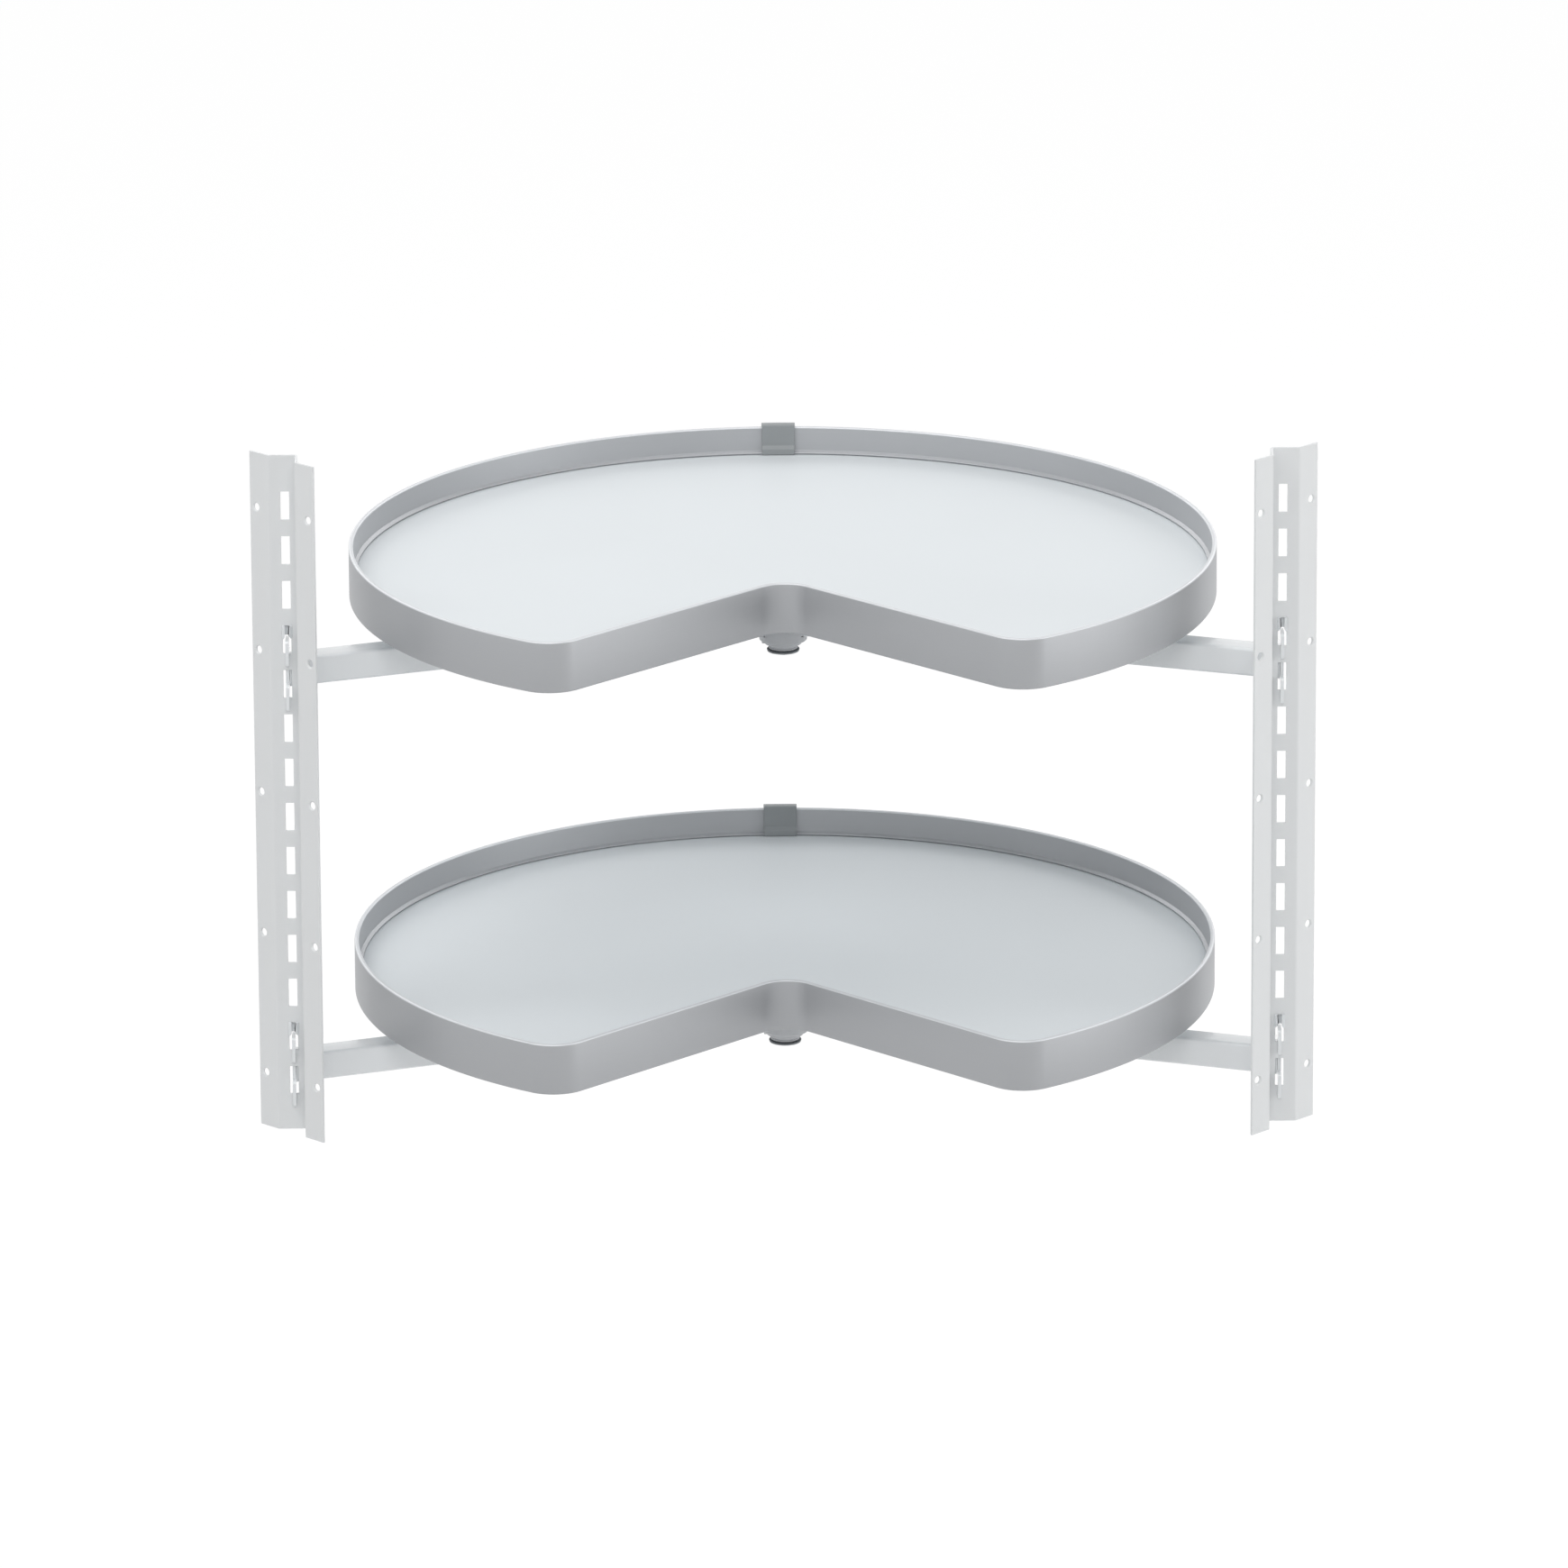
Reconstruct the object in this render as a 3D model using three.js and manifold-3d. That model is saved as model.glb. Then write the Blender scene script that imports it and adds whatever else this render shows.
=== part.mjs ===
// Corner carousel fitting for a kitchen corner cabinet: two slotted wall posts, and two levels that hook
// into them. Each level is a bent crossbar with a bearing at its middle, which carries a three-quarter
// round tray. Millimetres, +Z up. The axis that the trays turn on is X = Y = 0, the foot of the posts is
// Z = 0, the room corner is at +Y and the notch of the trays, which faces the open door, is at -Y.

import * as THREE from 'three';
import { mergeVertices } from 'three/addons/utils/BufferGeometryUtils.js';
import Module from 'manifold-3d';

const wasm = await Module();
wasm.setup();

// ---------------------------------------------------------------- driving dimensions

// Clearances
const SEAT_GAP = 0.3;            // between faces that rest on each other
const RUN_GAP = 0.3;             // round the parts that turn
const SLOT_PLAY = 0.25;          // each side of a clip prong in its slot

// Wall posts: a folded sheet with a ridge between two screw flanges
const WALL_REACH = 425.6;        // turning axis to the cabinet's side wall, square to the wall
const POST_SETBACK = 185.6;      // middle of a post, along the wall from the foot of that line
const POST_LENGTH = 610;
const POST_SHEET = 2;
const POST_BEND = 1.5;           // inner radius of the folds
const FLANGE_WIDTH = 22.5;
const RIDGE_HEIGHT = 17;         // the ridge's two sides stand at 45 degrees to the wall
const SLOT_COUNT = 14;
const SLOT_PITCH = 40;
const SLOT_WIDTH = 7.5;
const SLOT_HEIGHT = 25;
const SLOT_TO_RIDGE = 9.6;       // middle of a slot to the ridge line
const SCREW_HOLE_COUNT = 5;
const SCREW_HOLE_PITCH = 128;
const SCREW_HOLE_DIAMETER = 6.6;
const SCREW_HOLE_TO_EDGE = 7.5;

// Levels, counted in slots from the foot: the slot that takes the upper hook of each arm
const UPPER_LEVEL_SLOT = 10;
const LOWER_LEVEL_SLOT = 1;
const SLOTS_BETWEEN_HOOKS = 1;

// Crossbar: square tube, bent once at the middle, with its ends cut parallel to the hook plates
const BAR_SIZE = 25;
const BAR_WALL = 2;
const BAR_CORNER = 2.5;
const BAR_BEND_RADIUS = 230;     // on the centre line
const BAR_BELOW_SLOT = 31;       // centre line below the middle of the upper hook's slot

// Hook plates, welded on the ends of the crossbar
const HOOK_PLATE_SHEET = 3;
const HOOK_LEG_DEPTH = 5;
const HOOK_DROP = 11;            // tip of a hook below its slot
const HOOK_NECK = 11.9;          // height of the tongue in the slot
const HOOK_TIP_CHAMFER = 2;
const HOOK_PLATE_FOOT = 4.5;     // plate below the lower slot
const HOOK_PLATE_MARGIN = 1.7;   // plate behind the end of the crossbar
const HOOK_PLATE_HEAD = 12;      // depth of the plate above the crossbar
const HOOK_PLATE_SHOULDER = 3;   // the wide part of the plate above the crossbar

// Lock clips, pressed into the upper half of each upper slot
const CLIP_FORK = 3.6;           // opening that straddles the hook plate
const CLIP_HEAD_SPAN = 10.2;     // over the two barbed heads
const CLIP_HEAD_DEPTH = 3;
const CLIP_HEAD_CHAMFER = 1.2;
const CLIP_HEAD_LAP = 0.5;       // heads above the slot
const CLIP_BODY_WIDTH = 13;
const CLIP_BODY_DEPTH = 6;
const CLIP_BODY_LAP = 4;         // body over the plate's top edge, and above the slot
const CLIP_WINDOW = 3;           // open above the hook plate
const CLIP_TAB_DEPTH = 5;
const CLIP_TAB_HEIGHT = 2.2;

// Trays: three quarters of a disc, with a right-angled notch
const TRAY_RADIUS = 379.5;
const NOTCH_DEPTH = 126.2;       // turning axis to the point where the notch's two faces would meet
const NOTCH_RADIUS = 26.3;
const TRAY_CORNER = 33.2;
const BOARD_THICKNESS = 16;
const FLOOR_DEPTH = 25;          // top of the rim to the board
const RIM_HEIGHT = 45.2;
const RIM_WALL = 4;
const RIM_EDGE = 0.8;
const BEAD_WIDTH = 3;            // bead that holds the board down
const BEAD_HEIGHT = 3;
const BEAD_SLOPE = 1.6;
const LIP_WIDTH = 7;             // lip that carries the board
const LIP_THICKNESS = 2.2;
const RIM_JOINT = 0.6;           // between the two ends of the rim strip, at the back

// Clip over the joint of the rim
const JOINT_CLIP_WIDTH = 30;
const JOINT_CLIP_TOP = 2.6;
const JOINT_CLIP_OUTER = 1.8;
const JOINT_CLIP_OUTER_DROP = 30;
const JOINT_CLIP_INNER_TOP = 2.6;
const JOINT_CLIP_INNER_FOOT = 2.2;

// Bearing, from the board down to the crossbar
const PLATE_RADIUS = 80;
const PLATE_SHEET = 3;
const PLATE_EDGE_DROP = 4;       // turned-down edge of the tray plate
const SCREW_CIRCLE_RADIUS = 62;
const SCREW_COUNT = 4;
const SCREW_SHANK_RADIUS = 2.3;
const SCREW_LENGTH = 12;
const SCREW_HEAD_RADIUS = 4.6;
const SCREW_HEAD_HEIGHT = 2.6;
const SPINDLE_RADIUS = 7;
const SPINDLE_FLANGE_RADIUS = 22;
const SPINDLE_FLANGE = 3.2;
const RACE_INNER_RADIUS = 9.5;
const RACE_OUTER_RADIUS = 18;
const RACE_THICKNESS = 2;
const BALL_RADIUS = 2.1;
const BALL_COUNT = 8;
const CAGE_THICKNESS = 1.6;
const CAGE_MARGIN = 1.2;         // cage ring inside and outside the balls
const TOP_BUSH_FLANGE_RADIUS = 17;
const TOP_BUSH_FLANGE = 2;
const BUSH_NECK = 12;

// Bearing, through the crossbar and below it
const TUBE_OUTER_RADIUS = 10;
const TUBE_INNER_RADIUS = 8.5;
const SUPPORT_FLANGE_RADIUS = 21;
const SUPPORT_FLANGE = 5.2;
const CUP_LIP = 3.3;             // height of the flange's edge in front of and behind the crossbar
const CUP_EDGE = 2.4;            // slant of that edge
const LOCK_RING_RADIUS = 16.25;
const LOCK_RING = 3;
const LOCK_TAB_REACH = 2.4;
const LOCK_TAB_WIDTH = 5;
const NUT_RADIUS = 12.9;
const NUT_HEIGHT = 4.4;
const NUT_GROOVE = 0.8;
const BOTTOM_BUSH_FLANGE_RADIUS = 14.3;
const BOTTOM_BUSH_FLANGE = 0.8;
const END_WASHER_RADIUS = 14;
const END_WASHER = 1;
const END_SCREW_RADIUS = 4;
const END_SCREW_LENGTH = 18;
const END_SCREW_HEAD_RADIUS = 6.9;
const END_SCREW_HEAD = 1.9;
const EDGE_BREAK = 0.5;          // small chamfer on turned parts

// Facets
const RIM_ARC_STEPS = 21;        // each side of the tray, from the back to its corner
const CORNER_STEPS = 4;
const NOTCH_STEPS = 3;           // each side of the notch
const FOLD_STEPS = 2;
const BAR_BEND_STEPS = 8;
const TURNED_STEPS = 20;
const HOLE_STEPS = 10;
const SCREW_STEPS = 8;
const BALL_STEPS = 6;

// ---------------------------------------------------------------- finishes

const FINISHES = {
  post: { color: 0xd5d5d6, roughness: 0.45, metalness: 0.1 },
  bar: { color: 0xcbd0d2, roughness: 0.4, metalness: 0.15 },
  board: { color: 0xe3e7e9, roughness: 0.5, metalness: 0 },
  rim: { color: 0xa8aaad, roughness: 0.35, metalness: 0.6 },
  clip: { color: 0x8b8f91, roughness: 0.5, metalness: 0 },
  lock: { color: 0xc4c8ca, roughness: 0.5, metalness: 0 },
  plate: { color: 0xb9bcbf, roughness: 0.4, metalness: 0.7 },
  steel: { color: 0xaeb1b4, roughness: 0.25, metalness: 0.9 },
  support: { color: 0x9b9da0, roughness: 0.45, metalness: 0.3 },
  bush: { color: 0x55595c, roughness: 0.6, metalness: 0 },
};

// ---------------------------------------------------------------- derived places

const ROOT2 = Math.SQRT2;
const RIGHT_ANGLE = Math.PI / 2;
const EIGHTH = Math.PI / 4;

// Left post, in plan. `into` points into the cabinet and `along` runs along the wall to the front.
const into = new THREE.Vector2(1, 1).normalize();
const along = new THREE.Vector2(1, -1).normalize();
const postMiddle = into.clone().multiplyScalar(-WALL_REACH).addScaledVector(along, -POST_SETBACK);

/** Point of the left post's plan, `a` along the wall from its middle and `b` into the cabinet. */
const onPost = (a, b) => postMiddle.clone().addScaledVector(along, a).addScaledVector(into, b);

// The far side of the ridge faces -Y, square to X: its slots take the hooks.
const ridge = onPost(0, RIDGE_HEIGHT);
const slotX = ridge.x - SLOT_TO_RIDGE;
const legFrontY = ridge.y;
const legBackY = ridge.y + POST_SHEET;

const slotZ = (index) => POST_LENGTH / 2 + (index - (SLOT_COUNT - 1) / 2) * SLOT_PITCH;
const screwHoleZ = (index) => POST_LENGTH / 2 + (index - (SCREW_HOLE_COUNT - 1) / 2) * SCREW_HOLE_PITCH;

// Heights on a level, from the crossbar's centre line
const barTop = BAR_SIZE / 2;
const topBushZ = barTop + SEAT_GAP;
const lowerRaceZ = topBushZ + TOP_BUSH_FLANGE + SEAT_GAP;
const ballZ = lowerRaceZ + RACE_THICKNESS + RUN_GAP + BALL_RADIUS;
const upperRaceZ = ballZ + BALL_RADIUS + RUN_GAP;
const spindleFlangeZ = upperRaceZ + RACE_THICKNESS + SEAT_GAP;
const plateZ = spindleFlangeZ + SPINDLE_FLANGE + SEAT_GAP;
const boardZ = plateZ + PLATE_SHEET + SEAT_GAP;
const boardTop = boardZ + BOARD_THICKNESS;
const rimTop = boardTop + FLOOR_DEPTH;
const rimFoot = rimTop - RIM_HEIGHT;
const supportTop = -BAR_SIZE / 2 - SEAT_GAP;
const lockRingTop = supportTop - SUPPORT_FLANGE - SEAT_GAP;
const nutTop = lockRingTop - LOCK_RING - SEAT_GAP;
const tubeFoot = nutTop - NUT_HEIGHT;
const bottomBushTop = tubeFoot - SEAT_GAP;
const spindleFoot = bottomBushTop - BOTTOM_BUSH_FLANGE;
const endWasherTop = spindleFoot - RUN_GAP;
const endScrewTop = endWasherTop - END_WASHER - SEAT_GAP;

// Heights of a level's upper and lower slot from the same line
const upperSlot = BAR_BELOW_SLOT;
const lowerSlot = BAR_BELOW_SLOT - SLOTS_BETWEEN_HOOKS * SLOT_PITCH;

// The crossbar runs straight from the hook plate to its bend, just behind the slotted side of the ridge.
// With its bend's centre in front of the axis, the bar's angle solves A cos + B sin = C.
const barEndX = slotX + HOOK_PLATE_SHEET / 2 + SEAT_GAP;
const hookPlateFront = legBackY + SEAT_GAP;
const barAngle = (() => {
  const cosPart = hookPlateFront + BAR_BEND_RADIUS;
  const sinPart = -barEndX;
  const reach = Math.hypot(cosPart, sinPart);
  return Math.atan2(sinPart, cosPart) - Math.acos((BAR_BEND_RADIUS - BAR_SIZE / 2) / reach);
})();

// ---------------------------------------------------------------- geometry tools

/** Geometry with shared corners merged, flat triangles dropped and its faces turned outwards. */
function closed(geometry) {
  const bare = geometry.clone();
  for (const name of Object.keys(bare.attributes)) if (name !== 'position') bare.deleteAttribute(name);
  const merged = mergeVertices(bare);
  const { array } = merged.attributes.position;
  const corner = (i) => new THREE.Vector3().fromArray(array, 3 * i);
  const faces = [];
  let volume = 0;
  for (let i = 0; i < merged.index.count; i += 3) {
    const [a, b, c] = [0, 1, 2].map((k) => merged.index.getX(i + k));
    if (a === b || b === c || c === a) continue;
    faces.push([a, b, c]);
    volume += corner(a).dot(corner(b).cross(corner(c)));
  }
  const result = new THREE.BufferGeometry();
  result.setAttribute('position', merged.attributes.position);
  result.setIndex(faces.flatMap(([a, b, c]) => (volume < 0 ? [a, c, b] : [a, b, c])));
  return result;
}

/** Manifold solid of a closed geometry. */
function solidOf(geometry) {
  const shell = closed(geometry);
  const vertProperties = Float32Array.from(shell.attributes.position.array);
  const triVerts = Uint32Array.from(shell.index.array);
  return new wasm.Manifold(new wasm.Mesh({ numProp: 3, vertProperties, triVerts }));
}

/** Geometry of a manifold solid. */
function geometryOf(solid) {
  const { vertProperties, triVerts } = solid.getMesh();
  const geometry = new THREE.BufferGeometry();
  geometry.setAttribute('position', new THREE.BufferAttribute(Float32Array.from(vertProperties), 3));
  geometry.setIndex(new THREE.BufferAttribute(Uint32Array.from(triVerts), 1));
  return geometry;
}

/** The first geometry with the others cut out of it. */
function cut(geometry, ...tools) {
  return geometryOf(tools.reduce((solid, tool) => solid.subtract(solidOf(tool)), solidOf(geometry)));
}

/** One geometry joined from several that overlap. */
function join(...geometries) {
  return geometryOf(geometries.map(solidOf).reduce((all, solid) => all.add(solid)));
}

/** The same shape on the other side of the plane X = 0. */
function mirrored(geometry) {
  const copy = geometry.clone();
  const { position } = copy.attributes;
  for (let i = 0; i < position.count; i += 1) position.setX(i, -position.getX(i));
  return closed(copy);
}

/** Box between two limits on each axis. */
function block([x0, x1], [y0, y1], [z0, z1]) {
  const box = new THREE.BoxGeometry(Math.abs(x1 - x0), Math.abs(y1 - y0), Math.abs(z1 - z0));
  return box.translate((x0 + x1) / 2, (y0 + y1) / 2, (z0 + z1) / 2);
}

/** Plan outline raised from z0 to z1. */
function prism(outline, z0, z1) {
  const depth = z1 - z0;
  const raised = new THREE.ExtrudeGeometry(new THREE.Shape(outline), { depth, bevelEnabled: false });
  return raised.translate(0, 0, z0);
}

/** Outline drawn in Y and Z, carried from x0 to x1. */
function sidePrism(outline, x0, x1) {
  const axes = new THREE.Matrix4().makeBasis(
    new THREE.Vector3(0, 1, 0), new THREE.Vector3(0, 0, 1), new THREE.Vector3(1, 0, 0),
  );
  return prism(outline, x0, x1).applyMatrix4(axes);
}

/** Upright cylinder between two heights. */
function rod(radius, z0, z1, steps = HOLE_STEPS) {
  const length = z1 - z0;
  const upright = new THREE.CylinderGeometry(radius, radius, length, steps).rotateX(RIGHT_ANGLE);
  return upright.translate(0, 0, (z0 + z1) / 2);
}

/** Turned part: a profile of [radius, height] corners, closed on itself or on the axis. */
function turned(profile, steps = TURNED_STEPS) {
  const hollow = profile.every(([radius]) => radius > 0);
  const corners = (hollow ? [...profile, profile[0]] : profile).map(([r, z]) => new THREE.Vector2(r, z));
  return closed(new THREE.LatheGeometry(corners, steps).rotateX(RIGHT_ANGLE));
}

/** Flat ring between two heights. */
function ring(inner, outer, z0, z1) {
  return turned([[inner, z0], [outer, z0], [outer, z1], [inner, z1]]);
}

/** Skin over a row of rings of points. The row closes on itself, or ends in caps if its section is given. */
function loft(rings, section) {
  const size = rings[0].length;
  const index = [];
  const last = section ? rings.length - 1 : rings.length;
  for (let row = 0; row < last; row += 1) {
    const next = (row + 1) % rings.length;
    for (let i = 0; i < size; i += 1) {
      const j = (i + 1) % size;
      const [a, b, c, d] = [row * size + i, row * size + j, next * size + j, next * size + i];
      index.push(a, b, c, a, c, d);
    }
  }
  if (section) {
    const start = (rings.length - 1) * size;
    const clockwise = THREE.ShapeUtils.isClockWise(section);
    for (const face of THREE.ShapeUtils.triangulateShape(section, [])) {
      const [a, b, c] = clockwise ? face.reverse() : face;
      index.push(c, b, a, start + a, start + b, start + c);
    }
  }
  const geometry = new THREE.BufferGeometry();
  geometry.setFromPoints(rings.flat());
  geometry.setIndex(index);
  return closed(geometry);
}

/** Points of an arc about a centre, both ends included. */
function arc(centre, radius, from, to, steps) {
  return Array.from({ length: steps + 1 }, (_, i) => {
    const angle = from + ((to - from) * i) / steps;
    return new THREE.Vector2(centre.x + radius * Math.cos(angle), centre.y + radius * Math.sin(angle));
  });
}

/** Square outline with round corners, counter-clockwise. */
function roundedSquare(size, radius, steps) {
  const inset = size / 2 - radius;
  const corners = [[1, 1], [-1, 1], [-1, -1], [1, -1]];
  return corners.flatMap(([x, y], quarter) => {
    const centre = new THREE.Vector2(x * inset, y * inset);
    return arc(centre, radius, quarter * RIGHT_ANGLE, (quarter + 1) * RIGHT_ANGLE, steps);
  });
}

/** Outline of folded sheet: it follows `line` with its thickness on the left, round every fold. */
function foldedSheet(line, thickness, foldRadius) {
  const near = [];
  const far = [];
  const put = (point, normal) => {
    near.push(point.clone());
    far.push(point.clone().addScaledVector(normal, thickness));
  };
  const leftOf = (direction) => new THREE.Vector2(-direction.y, direction.x);
  const heading = (i) => line[i + 1].clone().sub(line[i]).normalize();
  put(line[0], leftOf(heading(0)));
  for (let i = 1; i < line.length - 1; i += 1) {
    const before = heading(i - 1);
    const after = heading(i);
    const turn = Math.atan2(before.cross(after), before.dot(after));
    const radius = turn > 0 ? foldRadius + thickness : foldRadius;
    const setback = radius * Math.tan(Math.abs(turn) / 2);
    const start = line[i].clone().addScaledVector(before, -setback);
    const toCentre = leftOf(before).multiplyScalar(Math.sign(turn) * radius);
    const centre = start.clone().add(toCentre);
    for (let step = 0; step <= FOLD_STEPS; step += 1) {
      const angle = (turn * step) / FOLD_STEPS;
      const spoke = toCentre.clone().negate().rotateAround(new THREE.Vector2(), angle);
      const direction = before.clone().rotateAround(new THREE.Vector2(), angle);
      put(centre.clone().add(spoke), leftOf(direction));
    }
  }
  put(line[line.length - 1], leftOf(heading(line.length - 2)));
  return [...near, ...far.reverse()];
}

// ---------------------------------------------------------------- wall posts

/** Left post: the folded sheet with its hook slots and screw holes. */
function postGeometry() {
  const half = RIDGE_HEIGHT + FLANGE_WIDTH;
  const line = [onPost(-half, 0), onPost(-RIDGE_HEIGHT, 0), ridge, onPost(RIDGE_HEIGHT, 0), onPost(half, 0)];
  const sheet = prism(foldedSheet(line, POST_SHEET, POST_BEND), 0, POST_LENGTH);
  const tools = [];
  for (let i = 0; i < SLOT_COUNT; i += 1) {
    const z = slotZ(i);
    tools.push(block([slotX - SLOT_WIDTH / 2, slotX + SLOT_WIDTH / 2],
      [legFrontY - POST_SHEET, legBackY + POST_SHEET], [z - SLOT_HEIGHT / 2, z + SLOT_HEIGHT / 2]));
  }
  for (const side of [-1, 1]) {
    const place = onPost(side * (half - SCREW_HOLE_TO_EDGE), 0);
    for (let i = 0; i < SCREW_HOLE_COUNT; i += 1) {
      const drill = rod(SCREW_HOLE_DIAMETER / 2, -2 * POST_SHEET, 2 * POST_SHEET);
      drill.rotateX(-RIGHT_ANGLE).rotateZ(-EIGHTH).translate(place.x, place.y, screwHoleZ(i));
      tools.push(drill);
    }
  }
  return cut(sheet, ...tools);
}

// ---------------------------------------------------------------- crossbar and its ends

/** Crossbar: the tube's section carried along straight, bend and straight, with a hole for the bearing. */
function crossbarGeometry() {
  const outer = roundedSquare(BAR_SIZE, BAR_CORNER, 1);
  const inner = roundedSquare(BAR_SIZE - 2 * BAR_WALL, BAR_CORNER - BAR_WALL, 1);
  const bendCentre = new THREE.Vector2(0, -BAR_BEND_RADIUS);
  const bentRing = (section, angle) => section.map(({ x: across, y: up }) => {
    const radius = BAR_BEND_RADIUS + across;
    return new THREE.Vector3(radius * Math.sin(angle), bendCentre.y + radius * Math.cos(angle), up);
  });
  const endRing = (section, side) => section.map(({ x: across, y: up }) => {
    const radius = BAR_BEND_RADIUS + across;
    const start = new THREE.Vector2(radius * Math.sin(barAngle), bendCentre.y + radius * Math.cos(barAngle));
    const run = -barEndX - start.x;
    return new THREE.Vector3(side * (start.x + run), start.y - run * Math.tan(barAngle), up);
  });
  const rings = (section) => {
    const bend = Array.from({ length: BAR_BEND_STEPS + 1 }, (_, i) => {
      const angle = barAngle * ((2 * i) / BAR_BEND_STEPS - 1);
      return bentRing(section, angle);
    });
    return [endRing(section, -1), ...bend, endRing(section, 1)];
  };
  const tube = loft([...rings(outer), ...rings(inner).reverse()]);
  return cut(tube, rod(TUBE_OUTER_RADIUS + SEAT_GAP, -BAR_SIZE, BAR_SIZE, TURNED_STEPS));
}

/** Corners of one hook, drawn in Y and Z from the plate's front edge, lowest corner first. */
function hookCorners(slotMiddle) {
  const seat = slotMiddle - SLOT_HEIGHT / 2 + SEAT_GAP;
  const tip = slotMiddle - SLOT_HEIGHT / 2 - HOOK_DROP;
  const inner = legFrontY - SEAT_GAP;
  const outer = inner - HOOK_LEG_DEPTH;
  const top = seat + HOOK_NECK;
  return [
    [hookPlateFront, seat], [inner, seat], [inner, tip], [outer + HOOK_TIP_CHAMFER, tip],
    [outer, tip + HOOK_TIP_CHAMFER], [outer, top - HOOK_TIP_CHAMFER], [outer + HOOK_TIP_CHAMFER, top],
    [hookPlateFront, top],
  ];
}

/** Left hook plate: stamped sheet that closes the bar's end, with two hooks through the post's slots. */
function hookPlateGeometry() {
  const back = hookPlateFront + BAR_SIZE / Math.cos(barAngle) + HOOK_PLATE_MARGIN;
  const head = hookPlateFront + HOOK_PLATE_HEAD;
  const foot = lowerSlot - SLOT_HEIGHT / 2 - HOOK_PLATE_FOOT;
  const top = upperSlot - SLOT_HEIGHT / 2 + SEAT_GAP + HOOK_NECK;
  const shoulder = barTop + HOOK_PLATE_SHOULDER;
  const bar = -barTop - HOOK_PLATE_SHOULDER;
  const corners = [
    [head, foot], [hookPlateFront, foot], ...hookCorners(lowerSlot), ...hookCorners(upperSlot),
    [head, top], [head, Math.min(shoulder + HOOK_PLATE_SHOULDER, top)], [back, shoulder], [back, bar],
    [head, bar - HOOK_PLATE_SHOULDER],
  ];
  const outline = corners.map(([y, z]) => new THREE.Vector2(y, z));
  return sidePrism(outline, slotX - HOOK_PLATE_SHEET / 2, slotX + HOOK_PLATE_SHEET / 2);
}

/** Left lock clip: a body behind the post, and two barbed prongs through the slot above the hook. */
function lockClipGeometry() {
  const plateTop = upperSlot - SLOT_HEIGHT / 2 + SEAT_GAP + HOOK_NECK;
  const slotTop = upperSlot + SLOT_HEIGHT / 2;
  const bodyFront = hookPlateFront;
  const bodyBack = bodyFront + CLIP_BODY_DEPTH;
  const headFront = legFrontY - SEAT_GAP - CLIP_HEAD_DEPTH;
  const bodyX = [slotX - CLIP_BODY_WIDTH / 2, slotX + CLIP_BODY_WIDTH / 2];
  const body = block(bodyX, [bodyFront, bodyBack], [plateTop - CLIP_BODY_LAP, slotTop + CLIP_BODY_LAP]);
  const tab = block(bodyX, [bodyBack - EDGE_BREAK, bodyBack + CLIP_TAB_DEPTH],
    [slotTop + CLIP_BODY_LAP - CLIP_TAB_HEIGHT, slotTop + CLIP_BODY_LAP]);
  const prongs = [-1, 1].flatMap((side) => {
    const near = slotX + (side * CLIP_FORK) / 2;
    const far = slotX + side * (SLOT_WIDTH / 2 - SLOT_PLAY);
    const edge = slotX + (side * CLIP_HEAD_SPAN) / 2;
    const neck = block([near, far], [legFrontY - SEAT_GAP - EDGE_BREAK, bodyFront + EDGE_BREAK],
      [plateTop + SEAT_GAP, slotTop - SEAT_GAP]);
    const headCorners = [[near, legFrontY - SEAT_GAP], [near, headFront],
      [edge - side * CLIP_HEAD_CHAMFER, headFront], [edge, headFront + CLIP_HEAD_CHAMFER],
      [edge, legFrontY - SEAT_GAP]];
    const headOutline = headCorners.map(([x, y]) => new THREE.Vector2(x, y));
    return [neck, prism(headOutline, plateTop - CLIP_HEAD_LAP, slotTop + CLIP_HEAD_LAP)];
  });
  const fork = block([slotX - CLIP_FORK / 2, slotX + CLIP_FORK / 2],
    [bodyFront - CLIP_BODY_DEPTH, bodyBack + CLIP_BODY_DEPTH],
    [plateTop - 2 * CLIP_BODY_LAP, plateTop + CLIP_WINDOW]);
  return cut(join(body, tab, ...prongs), fork);
}

// ---------------------------------------------------------------- tray

/** Plan outline of the tray, set in from its outer face, from the back round its left side. */
function trayOutline(inset) {
  const radius = TRAY_RADIUS - inset;
  const cornerRadius = TRAY_CORNER - inset;
  const notchRadius = NOTCH_RADIUS + inset;
  // Corner centre, from its distances to the notch's face and to the axis
  const fromFace = TRAY_CORNER - NOTCH_DEPTH / ROOT2;
  const alongFace = Math.sqrt((TRAY_RADIUS - TRAY_CORNER) ** 2 - fromFace ** 2);
  const corner = new THREE.Vector2(fromFace + alongFace, fromFace - alongFace).divideScalar(ROOT2);
  const cornerAngle = Math.atan2(corner.y, corner.x);
  const notchCentre = new THREE.Vector2(0, -NOTCH_DEPTH - NOTCH_RADIUS * ROOT2);
  const origin = new THREE.Vector2();
  const half = [
    ...arc(origin, radius, RIGHT_ANGLE, cornerAngle, RIM_ARC_STEPS),
    ...arc(corner, cornerRadius, cornerAngle, -3 * EIGHTH, CORNER_STEPS).slice(1),
    ...arc(notchCentre, notchRadius, EIGHTH, RIGHT_ANGLE, NOTCH_STEPS),
  ];
  const right = half.slice(1).reverse();
  const left = half.slice(0, -1).map(({ x, y }) => new THREE.Vector2(-x, y));
  return [...left, ...right];
}

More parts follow.
